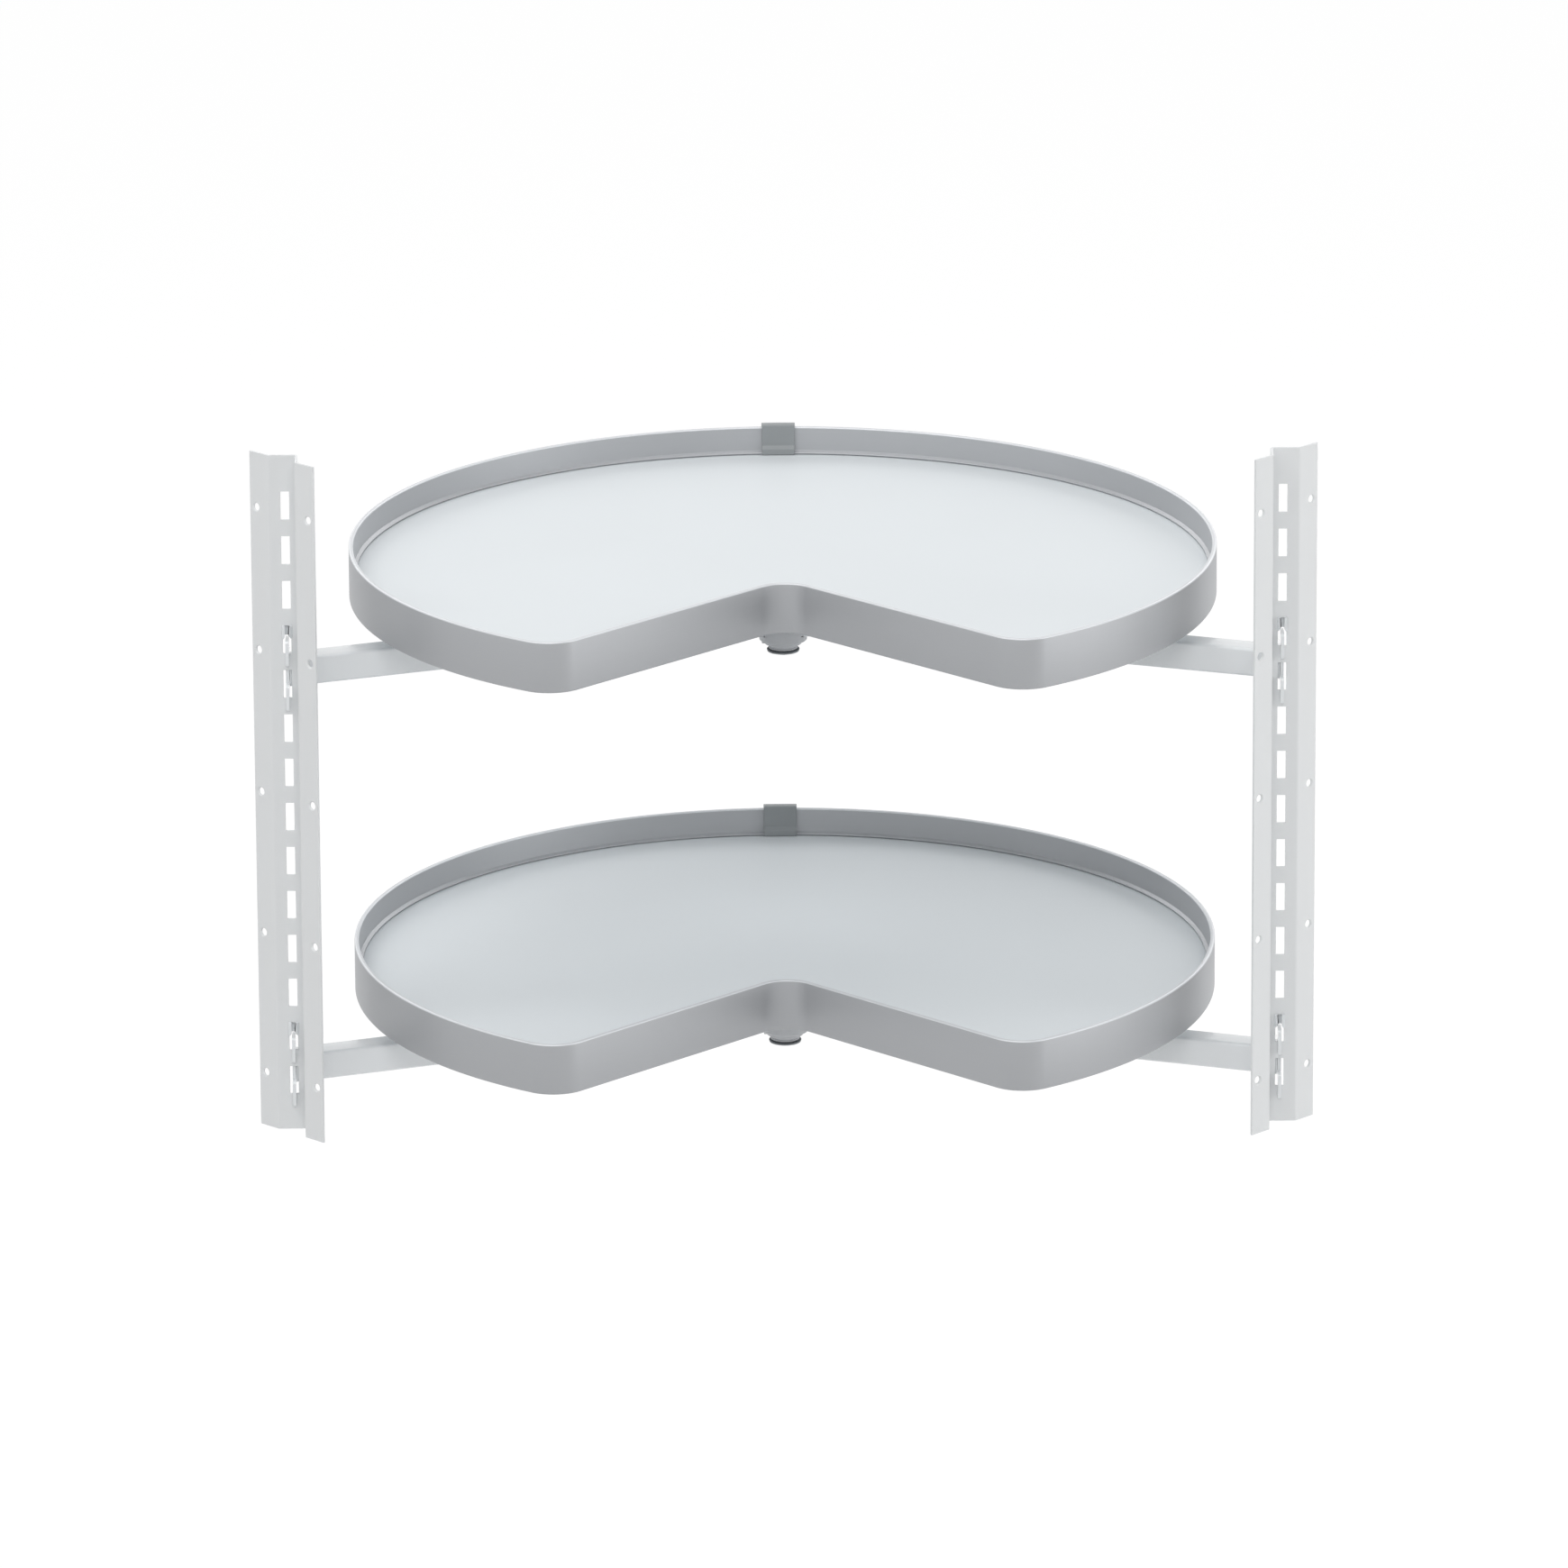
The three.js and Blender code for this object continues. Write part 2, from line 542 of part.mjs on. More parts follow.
/** Board with pilot holes for the four plate screws. */
function boardGeometry() {
  const board = prism(trayOutline(RIM_WALL + SEAT_GAP), boardZ, boardTop);
  return cut(board, ...screwPlaces().map(({ x, y }) => {
    const pilot = rod(SCREW_SHANK_RADIUS + SEAT_GAP, boardZ - 1, plateZ + SCREW_LENGTH + 1, SCREW_STEPS);
    return pilot.translate(x, y, 0);
  }));
}

/** Rim: one strip whose section, with bead and lip, runs round the tray and meets itself at the back. */
function rimGeometry() {
  const beadTop = boardTop + SEAT_GAP + BEAD_HEIGHT;
  const lipTop = boardZ - SEAT_GAP;
  const section = [
    [0, rimFoot], [0, rimTop - RIM_EDGE], [RIM_EDGE, rimTop], [RIM_WALL, rimTop],
    [RIM_WALL, beadTop], [RIM_WALL + BEAD_WIDTH, beadTop - BEAD_SLOPE],
    [RIM_WALL + BEAD_WIDTH, boardTop + SEAT_GAP], [RIM_WALL, boardTop + SEAT_GAP], [RIM_WALL, lipTop],
    [RIM_WALL + LIP_WIDTH, lipTop], [RIM_WALL + LIP_WIDTH, lipTop - LIP_THICKNESS],
    [RIM_WALL, lipTop - LIP_THICKNESS], [RIM_WALL, rimFoot],
  ];
  const lines = section.map(([inset, z]) => trayOutline(inset)
    .map(({ x, y }) => new THREE.Vector3(x, y, z)));
  const rings = lines[0].map((_, i) => lines.map((line) => line[i]));
  return cut(loft(rings), block([-RIM_JOINT / 2, RIM_JOINT / 2],
    [0, TRAY_RADIUS + RIM_WALL], [rimFoot - RIM_WALL, rimTop + RIM_WALL]));
}

/** Clip over the rim's joint: it grips the outer face and reaches down inside to the board. */
function jointClipGeometry() {
  const top = rimTop + SEAT_GAP + JOINT_CLIP_TOP;
  const foot = boardTop + SEAT_GAP;
  const beadTop = foot + BEAD_HEIGHT + SEAT_GAP;
  const wall = RIM_WALL + SEAT_GAP;
  const bead = RIM_WALL + BEAD_WIDTH + SEAT_GAP;
  const step = bead + JOINT_CLIP_INNER_FOOT - wall - JOINT_CLIP_INNER_TOP;
  const section = [
    [-SEAT_GAP, rimTop + SEAT_GAP], [-SEAT_GAP, rimTop - JOINT_CLIP_OUTER_DROP],
    [-SEAT_GAP - JOINT_CLIP_OUTER, rimTop - JOINT_CLIP_OUTER_DROP],
    [-SEAT_GAP - JOINT_CLIP_OUTER, top - RIM_EDGE], [-SEAT_GAP - JOINT_CLIP_OUTER + RIM_EDGE, top],
    [wall + JOINT_CLIP_INNER_TOP - RIM_EDGE, top], [wall + JOINT_CLIP_INNER_TOP, top - RIM_EDGE],
    [wall + JOINT_CLIP_INNER_TOP, beadTop + JOINT_CLIP_INNER_FOOT + step],
    [bead + JOINT_CLIP_INNER_FOOT, beadTop + JOINT_CLIP_INNER_FOOT],
    [bead + JOINT_CLIP_INNER_FOOT, foot], [bead, foot],
    [bead, beadTop], [wall, beadTop], [wall, rimTop + SEAT_GAP],
  ];
  // The clip lies along the rim's two flats that meet at the joint
  const rings = [-1, 0, 1].map((side) => section.map(([inset, z]) => {
    const [joint, next] = trayOutline(inset);
    const share = (Math.abs(side) * JOINT_CLIP_WIDTH) / 2 / joint.distanceTo(next);
    const { x, y } = joint.lerp(next, share);
    return new THREE.Vector3(-side * x, y, z);
  }));
  return loft(rings, section.map(([inset, z]) => new THREE.Vector2(inset, z)));
}

// ---------------------------------------------------------------- bearing

/** Places of the plate screws, on a circle about the axis. */
function screwPlaces() {
  return Array.from({ length: SCREW_COUNT }, (_, i) => {
    const angle = EIGHTH + (i * 2 * Math.PI) / SCREW_COUNT;
    return new THREE.Vector2(SCREW_CIRCLE_RADIUS * Math.cos(angle), SCREW_CIRCLE_RADIUS * Math.sin(angle));
  });
}

/** Tray plate: pressed disc with a turned-down edge, a hole for the spindle and four for its screws. */
function trayPlateGeometry() {
  const bore = SPINDLE_RADIUS + SEAT_GAP;
  const top = plateZ + PLATE_SHEET;
  const disc = turned([[bore, plateZ], [PLATE_RADIUS - PLATE_SHEET, plateZ],
    [PLATE_RADIUS - PLATE_SHEET, plateZ - PLATE_EDGE_DROP], [PLATE_RADIUS, plateZ - PLATE_EDGE_DROP],
    [PLATE_RADIUS, top - EDGE_BREAK], [PLATE_RADIUS - EDGE_BREAK, top], [bore, top]]);
  return cut(disc, ...screwPlaces().map(({ x, y }) => {
    const hole = rod(SCREW_SHANK_RADIUS + SEAT_GAP, plateZ - PLATE_SHEET, top + PLATE_SHEET, SCREW_STEPS);
    return hole.translate(x, y, 0);
  }));
}

/** Plate screw, head below the plate, at the axis. */
function plateScrewGeometry() {
  const headTop = plateZ - SEAT_GAP;
  const tip = plateZ + SCREW_LENGTH;
  const headFoot = headTop - SCREW_HEAD_HEIGHT;
  return turned([[0, headFoot], [SCREW_HEAD_RADIUS - 2 * EDGE_BREAK, headFoot],
    [SCREW_HEAD_RADIUS, headFoot + SCREW_HEAD_HEIGHT / 2], [SCREW_HEAD_RADIUS, headTop],
    [SCREW_SHANK_RADIUS, headTop], [SCREW_SHANK_RADIUS, tip - SCREW_SHANK_RADIUS], [0, tip]], SCREW_STEPS);
}

/** Spindle: riveted into the tray plate, with a flange on the bearing and a tapped foot. */
function spindleGeometry() {
  const drill = END_SCREW_RADIUS + SEAT_GAP;
  const drillTop = spindleFoot + END_SCREW_LENGTH;
  const flangeTop = spindleFlangeZ + SPINDLE_FLANGE;
  const top = plateZ + PLATE_SHEET;
  return turned([[0, drillTop], [drill, drillTop], [drill, spindleFoot],
    [SPINDLE_RADIUS, spindleFoot],
    [SPINDLE_RADIUS, spindleFlangeZ], [SPINDLE_FLANGE_RADIUS, spindleFlangeZ],
    [SPINDLE_FLANGE_RADIUS, flangeTop], [SPINDLE_RADIUS, flangeTop], [SPINDLE_RADIUS, top], [0, top]]);
}

/** Ball cage of the thrust bearing: a flat ring that holds the balls. */
function ballCageGeometry() {
  const pitch = (RACE_INNER_RADIUS + RACE_OUTER_RADIUS) / 2;
  const reach = BALL_RADIUS + CAGE_MARGIN;
  const cage = ring(pitch - reach, pitch + reach, ballZ - CAGE_THICKNESS / 2, ballZ + CAGE_THICKNESS / 2);
  const balls = Array.from({ length: BALL_COUNT }, (_, i) => {
    const angle = (i * 2 * Math.PI) / BALL_COUNT;
    const ball = new THREE.SphereGeometry(BALL_RADIUS, BALL_STEPS, BALL_STEPS / 2 + 1);
    return ball.rotateX(RIGHT_ANGLE).translate(pitch * Math.cos(angle), pitch * Math.sin(angle), ballZ);
  });
  return join(cage, ...balls);
}

/** Flanged bush: a flange between two heights, and a neck that lines the bearing tube to `neckEnd`. */
function bushGeometry(flangeRadius, flangeFrom, flangeTo, neckEnd) {
  const bore = SPINDLE_RADIUS + RUN_GAP;
  const neck = TUBE_INNER_RADIUS - SEAT_GAP;
  return turned([[bore, flangeFrom], [flangeRadius, flangeFrom], [flangeRadius, flangeTo], [neck, flangeTo],
    [neck, neckEnd], [bore, neckEnd]]);
}

/** Support flange: a round cup whose edge rises in front of and behind the bent crossbar that it holds. */
function supportFlangeGeometry() {
  const bore = TUBE_OUTER_RADIUS + SEAT_GAP;
  const foot = supportTop - SUPPORT_FLANGE;
  const lip = supportTop + CUP_LIP;
  const cup = turned([[bore, foot], [SUPPORT_FLANGE_RADIUS, foot], [SUPPORT_FLANGE_RADIUS, lip - CUP_EDGE],
    [SUPPORT_FLANGE_RADIUS - CUP_EDGE, lip], [bore, lip]]);
  const bend = SUPPORT_FLANGE_RADIUS ** 2 / (2 * BAR_BEND_RADIUS);
  const side = BAR_SIZE / 2 + SEAT_GAP;
  const reach = 2 * SUPPORT_FLANGE_RADIUS;
  return cut(cup, block([-reach, reach], [-side - bend, side], [supportTop, lip + CUP_LIP]));
}

/** Lock ring below the support flange, with the tab that keeps the nut from turning back. */
function lockRingGeometry() {
  const bore = TUBE_OUTER_RADIUS + SEAT_GAP;
  const foot = lockRingTop - LOCK_RING;
  const band = ring(bore, LOCK_RING_RADIUS, foot, lockRingTop);
  const tab = block([-LOCK_RING_RADIUS - LOCK_TAB_REACH, -LOCK_RING_RADIUS + LOCK_TAB_REACH],
    [-LOCK_TAB_WIDTH / 2, LOCK_TAB_WIDTH / 2], [foot, lockRingTop]);
  return join(band, tab);
}

/** Round nut with a groove about its middle, which clamps the support flange to the crossbar. */
function clampNutGeometry() {
  const bore = TUBE_OUTER_RADIUS + SEAT_GAP;
  const middle = nutTop - NUT_HEIGHT / 2;
  return turned([[bore, tubeFoot], [NUT_RADIUS - NUT_GROOVE, tubeFoot], [NUT_RADIUS, tubeFoot + NUT_GROOVE],
    [NUT_RADIUS, middle - NUT_GROOVE / 2], [NUT_RADIUS - NUT_GROOVE, middle],
    [NUT_RADIUS, middle + NUT_GROOVE / 2], [NUT_RADIUS, nutTop], [bore, nutTop]]);
}

/** Low-headed screw that holds the end washer to the spindle. */
function endScrewGeometry() {
  const foot = endScrewTop - END_SCREW_HEAD;
  const tip = spindleFoot + END_SCREW_LENGTH - 2 * SEAT_GAP;
  return turned([[0, foot], [END_SCREW_HEAD_RADIUS - EDGE_BREAK, foot],
    [END_SCREW_HEAD_RADIUS, foot + EDGE_BREAK], [END_SCREW_HEAD_RADIUS, endScrewTop],
    [END_SCREW_RADIUS, endScrewTop], [END_SCREW_RADIUS, tip - EDGE_BREAK],
    [END_SCREW_RADIUS - EDGE_BREAK, tip], [0, tip]], HOLE_STEPS);
}

// ---------------------------------------------------------------- assembly

/** Named mesh with its own material. */
function piece(name, finish, geometry) {
  const mesh = new THREE.Mesh(closed(geometry), new THREE.MeshStandardMaterial(FINISHES[finish]));
  mesh.name = name;
  return mesh;
}

/** Left and right copies of a piece that is drawn on the left. */
function pair(nameFor, finish, geometry) {
  return [piece(nameFor('left'), finish, geometry), piece(nameFor('right'), finish, mirrored(geometry))];
}

/** What stays put on a level: the crossbar, its ends and the bearing's fixed pieces. */
function supportGroup(level) {
  const group = new THREE.Group();
  group.add(
    piece(`${level}_crossbar`, 'bar', crossbarGeometry()),
    ...pair((side) => `${level}_${side}_hook_plate`, 'bar', hookPlateGeometry()),
    ...pair((side) => `${level}_${side}_lock_clip`, 'lock', lockClipGeometry()),
    piece(`${level}_bearing_tube`, 'steel', ring(TUBE_INNER_RADIUS, TUBE_OUTER_RADIUS, tubeFoot, barTop)),
    piece(`${level}_top_bush`, 'bush',
      bushGeometry(TOP_BUSH_FLANGE_RADIUS, topBushZ + TOP_BUSH_FLANGE, topBushZ, topBushZ - BUSH_NECK)),
    piece(`${level}_bottom_bush`, 'bush',
      bushGeometry(BOTTOM_BUSH_FLANGE_RADIUS, spindleFoot, bottomBushTop, bottomBushTop + BUSH_NECK)),
    piece(`${level}_lower_race`, 'steel',
      ring(RACE_INNER_RADIUS, RACE_OUTER_RADIUS, lowerRaceZ, lowerRaceZ + RACE_THICKNESS)),
    piece(`${level}_ball_cage`, 'steel', ballCageGeometry()),
    piece(`${level}_support_flange`, 'support', supportFlangeGeometry()),
    piece(`${level}_lock_ring`, 'support', lockRingGeometry()),
    piece(`${level}_clamp_nut`, 'steel', clampNutGeometry()),
  );
  return group;
}

/** What turns on a level: the tray, its plate and screws, the spindle and what holds it in. */
function trayGroup(level) {
  const group = new THREE.Group();
  group.add(
    piece(`${level}_tray_board`, 'board', boardGeometry()),
    piece(`${level}_tray_rim`, 'rim', rimGeometry()),
    piece(`${level}_rim_joint_clip`, 'clip', jointClipGeometry()),
    piece(`${level}_tray_plate`, 'plate', trayPlateGeometry()),
    piece(`${level}_spindle`, 'steel', spindleGeometry()),
    piece(`${level}_upper_race`, 'steel',
      ring(RACE_INNER_RADIUS, RACE_OUTER_RADIUS, upperRaceZ, upperRaceZ + RACE_THICKNESS)),
    piece(`${level}_end_washer`, 'steel',
      ring(END_SCREW_RADIUS + SEAT_GAP, END_WASHER_RADIUS, endWasherTop - END_WASHER, endWasherTop)),
    piece(`${level}_end_screw`, 'steel', endScrewGeometry()),
  );
  screwPlaces().forEach(({ x, y }, i) => {
    const screw = piece(`${level}_plate_screw_${i + 1}`, 'steel', plateScrewGeometry());
    screw.position.set(x, y, 0);
    group.add(screw);
  });
  return group;
}

const carousel = new THREE.Group();
carousel.name = 'corner_carousel';
carousel.add(...pair((side) => `${side}_post`, 'post', postGeometry()));
for (const [level, slot] of [['upper', UPPER_LEVEL_SLOT], ['lower', LOWER_LEVEL_SLOT]]) {
  const group = new THREE.Group();
  group.position.z = slotZ(slot) - BAR_BELOW_SLOT;
  group.add(supportGroup(level), trayGroup(level));
  carousel.add(group);
}

export default carousel;
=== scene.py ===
"""Looks of the corner carousel fitting: fine surfaces, finishes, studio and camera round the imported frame.

Sizes are in millimetres, as in the part's source, and become metres when a mesh is made. The trays turn on
the line X = Y = 0, the feet of the wall posts are at Z = 0, and the room corner is at +Y.
"""

import logging
import math
from collections.abc import Sequence
from dataclasses import dataclass, field
from enum import Enum

import bmesh
import bpy
import numpy as np
from mathutils import Matrix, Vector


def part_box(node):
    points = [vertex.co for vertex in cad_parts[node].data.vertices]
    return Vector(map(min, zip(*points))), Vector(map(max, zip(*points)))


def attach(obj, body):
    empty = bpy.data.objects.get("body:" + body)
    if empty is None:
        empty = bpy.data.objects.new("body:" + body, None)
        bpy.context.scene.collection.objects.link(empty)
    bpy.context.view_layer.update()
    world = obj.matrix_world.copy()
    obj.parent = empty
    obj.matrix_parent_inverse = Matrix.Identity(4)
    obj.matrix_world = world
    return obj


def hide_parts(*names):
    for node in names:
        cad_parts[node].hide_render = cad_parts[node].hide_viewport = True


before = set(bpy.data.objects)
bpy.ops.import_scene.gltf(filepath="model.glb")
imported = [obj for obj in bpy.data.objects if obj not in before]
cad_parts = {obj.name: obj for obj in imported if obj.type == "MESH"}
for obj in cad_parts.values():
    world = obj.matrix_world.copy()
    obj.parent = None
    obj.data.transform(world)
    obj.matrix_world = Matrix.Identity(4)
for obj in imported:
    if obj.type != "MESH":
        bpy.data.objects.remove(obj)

LOG = logging.getLogger("corner_carousel")
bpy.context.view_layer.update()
MM = 0.001
GAP = 0.3  # between faces that rest on each other, and round the parts that turn
EIGHTH_TURN = math.pi / 4
QUARTER_TURN = math.pi / 2
FULL_TURN = 2 * math.pi
ROOT2 = math.sqrt(2.0)
INTO_CABINET = np.array([1.0, 1.0]) / ROOT2  # square to the left wall, in plan
ALONG_WALL = np.array([1.0, -1.0]) / ROOT2  # along the left wall, towards the front
PIN_FACETS = 48
OVERSHOOT = 1.0  # of a drill beyond the face that it enters
MERGE_DISTANCE = 1e-7  # metres
DRIFT_SCALE = 9.0  # wide spots in a metre
DRIFT_DETAIL = 4.0
DRIFT_SHARE = 0.65  # of a finish's colour drift that is wide. The rest follows its relief
RELIEF_DETAIL = 2.0
DRAWN_SCALE = 12.0  # spots in a metre along a drawn strip
RING_WAVE = 1.5  # distortion of the lathe's rings
GLOSS_RANGE = 0.05  # roughness to either side of its mean
COAT_ROUGHNESS = 0.1
PAINTED_HIGHLIGHT = (205, 207, 210)  # screen colour of the painted highlight on the rim's top edge, in place of the lamps' sheen there
PAINTED_HIGHLIGHT_BORDER = 0.0003  # metres, soft border of the painted highlight


class Side(Enum):
    """The two sides of the fitting, as seen from the open cabinet."""

    LEFT = "left"
    RIGHT = "right"


class Level(Enum):
    """The two trays' levels."""

    UPPER = "upper"
    LOWER = "lower"


class Grain(Enum):
    """How the fine relief of a finish is laid out."""

    PEEL = "sprayed coat with a soft orange peel"
    PEBBLE = "pressed or moulded skin with fine pebbles"
    DRAWN = "fine lines along a drawn strip"
    TURNED = "fine rings left by the lathe"
    SPANGLE = "zinc crystals"


# ---------------------------------------------------------------- surfaces


@dataclass
class Surface:
    """A mesh before Blender has it: points in millimetres and faces of any corner counts.

    `uv` holds one (u, v) row for each corner of each face, in the order of the faces, or None.
    """

    points: np.ndarray
    faces: list[list[int]]
    uv: np.ndarray | None = None

    def moved(self, offset: Sequence[float]) -> "Surface":
        """Returns the surface shifted by offset."""
        return Surface(self.points + np.asarray(offset, float), self.faces, self.uv)

    def raised(self, height: float) -> "Surface":
        """Returns the surface shifted upwards."""
        return self.moved((0.0, 0.0, height))

    def mirrored(self) -> "Surface":
        """Returns the surface on the other side of X = 0, with its faces turned round again."""
        return Surface(self.points * np.array([-1.0, 1.0, 1.0]), [face[::-1] for face in self.faces])


def quads(rows: int, columns: int, wrap_rows: bool, wrap_columns: bool) -> np.ndarray:
    """Corner indices of the cells of a grid of points, stored row by row.

    Args:
        rows: Number of rows of points.
        columns: Number of points in a row.
        wrap_rows: Whether the last row joins the first.
        wrap_columns: Whether the last column joins the first.

    Returns:
        An array of shape (cells, 4).
    """
    i, j = np.meshgrid(np.arange(rows if wrap_rows else rows - 1),
                       np.arange(columns if wrap_columns else columns - 1), indexing="ij")
    i, j = i.ravel(), j.ravel()
    k, m = (i + 1) % rows, (j + 1) % columns
    return np.stack([i * columns + j, i * columns + m, k * columns + m, k * columns + j], axis=1)


def rounded(corners: Sequence[Sequence[float]], steps: int, radius: float | None = None,
            closed: bool = True) -> np.ndarray:
    """Rounds the corners of a line: each corner gives way to an arc that touches both of its sides.

    The arc starts radius * tan(turn / 2) before the corner, and its points are its start turned about its
    centre by equal shares of the turn.

    Args:
        corners: The line's corners, as (x, y) rows, or (x, y, radius) rows where no radius is given. A
            corner with radius 0 stays.
        steps: Number of chords in each arc.
        radius: Radius of all the arcs.
        closed: Whether the line runs back to its start. The ends of an open line stay.

    Returns:
        The rounded line's points, shape (n, 2).
    """
    table = np.asarray(corners, float)
    line = table[:, :2]
    radii = table[:, 2].copy() if radius is None else np.full(len(line), float(radius))
    before = line - np.roll(line, 1, axis=0)
    after = np.roll(line, -1, axis=0) - line
    before /= np.linalg.norm(before, axis=1, keepdims=True)
    after /= np.linalg.norm(after, axis=1, keepdims=True)
    cross = before[:, 0] * after[:, 1] - before[:, 1] * after[:, 0]
    turn = np.arctan2(cross, (before * after).sum(axis=1))
    if not closed:
        radii[[0, -1]] = 0.0
    start = line - before * (radii * np.tan(np.abs(turn) / 2))[:, None]
    inward = np.stack([-before[:, 1], before[:, 0]], axis=1) * (np.sign(turn) * radii)[:, None]
    angle = turn[:, None] * np.linspace(0.0, 1.0, steps + 1)[None, :]
    cosine, sine = np.cos(angle)[..., None], np.sin(angle)[..., None]
    spoke = -inward[:, None, :]
    across = np.stack([-spoke[..., 1], spoke[..., 0]], axis=-1)
    arcs = (start + inward)[:, None, :] + cosine * spoke + sine * across
    keep = np.ones((len(line), steps + 1), bool)
    keep[radii <= 0.0, 1:] = False
    return arcs[keep]


def swept(rings: np.ndarray, closed: bool = False) -> Surface:
    """Skins a row of closed rings of points, as a tube with flat ends or as a loop.

    Args:
        rings: Points of shape (rings, points in a ring, 3).
        closed: Whether the last ring joins the first.

    Returns:
        The tube, with U along it and V round its section, both in metres.
    """
    count, size, _ = rings.shape
    cells = quads(count, size, closed, True)
    along = np.concatenate([[0.0], np.cumsum(np.linalg.norm(np.diff(rings[:, 0], axis=0), axis=1))])
    ring = np.vstack([rings[0], rings[0, :1]])
    around = np.concatenate([[0.0], np.cumsum(np.linalg.norm(np.diff(ring, axis=0), axis=1))])
    row, column = cells[:, 0] // size, cells[:, 0] % size
    nexts = np.minimum(row + 1, count - 1)
    u = np.stack([along[row], along[row], along[nexts], along[nexts]], axis=1)
    v = np.stack([around[column], around[column + 1], around[column + 1], around[column]], axis=1)
    uv = np.stack([u.ravel(), v.ravel()], axis=1)
    faces = cells.tolist()
    if not closed:
        faces += [list(range(size))[::-1], list(range((count - 1) * size, count * size))]
        uv = np.vstack([uv, np.zeros((2 * size, 2))])
    return Surface(rings.reshape(-1, 3), faces, uv * MM)


def carried(outline: np.ndarray, axis: int, low: float, high: float,
            far: np.ndarray | None = None) -> Surface:
    """Carries an outline from one place to another along X, Y or Z, with flat ends.

    Args:
        outline: The outline's rows, in the two other coordinates.
        axis: 0, 1 or 2, for the direction.
        low: Where it starts.
        high: Where it ends.
        far: The outline at the end, or None for the same one.

    Returns:
        The closed surface.
    """
    ends = ((outline, low), (outline if far is None else far, high))
    return swept(np.stack([np.insert(line, axis, place, axis=1) for line, place in ends]))


def carried_round(plan: np.ndarray, inward: np.ndarray, section: np.ndarray) -> np.ndarray:
    """Stands a section at every point of a line in plan: point = plan + inset * inward.

    Args:
        plan: The line's points.
        inward: Its unit normals.
        section: The section's (inset, height) rows.

    Returns:
        The rings, of shape (points of the line, points of the section, 3).
    """
    points = plan[:, None, :] + section[None, :, :1] * inward[:, None, :]
    heights = np.broadcast_to(section[:, 1], points.shape[:2])[..., None]
    return np.concatenate([points, heights], axis=-1)


def units(angle: np.ndarray) -> np.ndarray:
    """Returns unit vectors at the given angles from +X."""
    return np.stack([np.cos(angle), np.sin(angle)], axis=1)


def circle(count: int) -> np.ndarray:
    """Returns points that step evenly round the unit circle, from +X."""
    return units(np.linspace(0.0, FULL_TURN, count, endpoint=False))


def turned(profile: Sequence[Sequence[float]], radius: float = 0.4, steps: int = 3,
           segments: int = 96) -> Surface:
    """Turns a profile about Z: each profile point (r, z) becomes a circle of radius r at height z.

    Args:
        profile: The closed profile's corners, as (r, z) rows. Corners on the axis stay sharp.
        radius: Rounding of the profile's corners.
        steps: Chords in each rounding.
        segments: Facets round the axis.

    Returns:
        The closed turned surface.
    """
    corners = np.asarray(profile, float)
    radii = np.where(corners[:, 0] < 1e-9, 0.0, radius)
    line = rounded(np.column_stack([corners, radii]), steps)
    spokes = circle(segments)
    rings = np.stack([np.outer(spokes[:, 0], line[:, 0]), np.outer(spokes[:, 1], line[:, 0]),
                      np.broadcast_to(line[:, 1], (segments, len(line)))], axis=-1)
    return swept(rings, closed=True)


def box_corners(left: float, low: float, right: float, high: float) -> list[tuple[float, float]]:
    """Returns a rectangle's corners, from the lower left one by the lower right one."""
    return [(left, low), (right, low), (right, high), (left, high)]


def flat_ring(inner: float, outer: float, low: float, high: float, radius: float = 0.4) -> Surface:
    """Returns a ring or tube about the axis, with rounded edges."""
    return turned(box_corners(inner, low, outer, high), radius)


def pin(place: Sequence[float], radius: float, low: float, high: float) -> Surface:
    """Returns an upright round pin at a place in plan, from one height to another."""
    return carried(np.asarray(place, float) + radius * circle(PIN_FACETS), 2, low, high)


def screw_places(radius: float, count: int) -> list[tuple[float, float]]:
    """Returns places in plan on a circle about the axis, the first an eighth of a turn from +X."""
    turns = EIGHTH_TURN + np.arange(count) * FULL_TURN / count
    return [(radius * math.cos(turn), radius * math.sin(turn)) for turn in turns]


# ---------------------------------------------------------------- finishes


def linear(colour: Sequence[float]) -> tuple[float, float, float, float]:
    """Returns an 8-bit screen colour as linear light with alpha."""
    parts = [value / 255.0 for value in colour]
    return (*[p / 12.92 if p <= 0.04045 else ((p + 0.055) / 1.055) ** 2.4 for p in parts], 1.0)


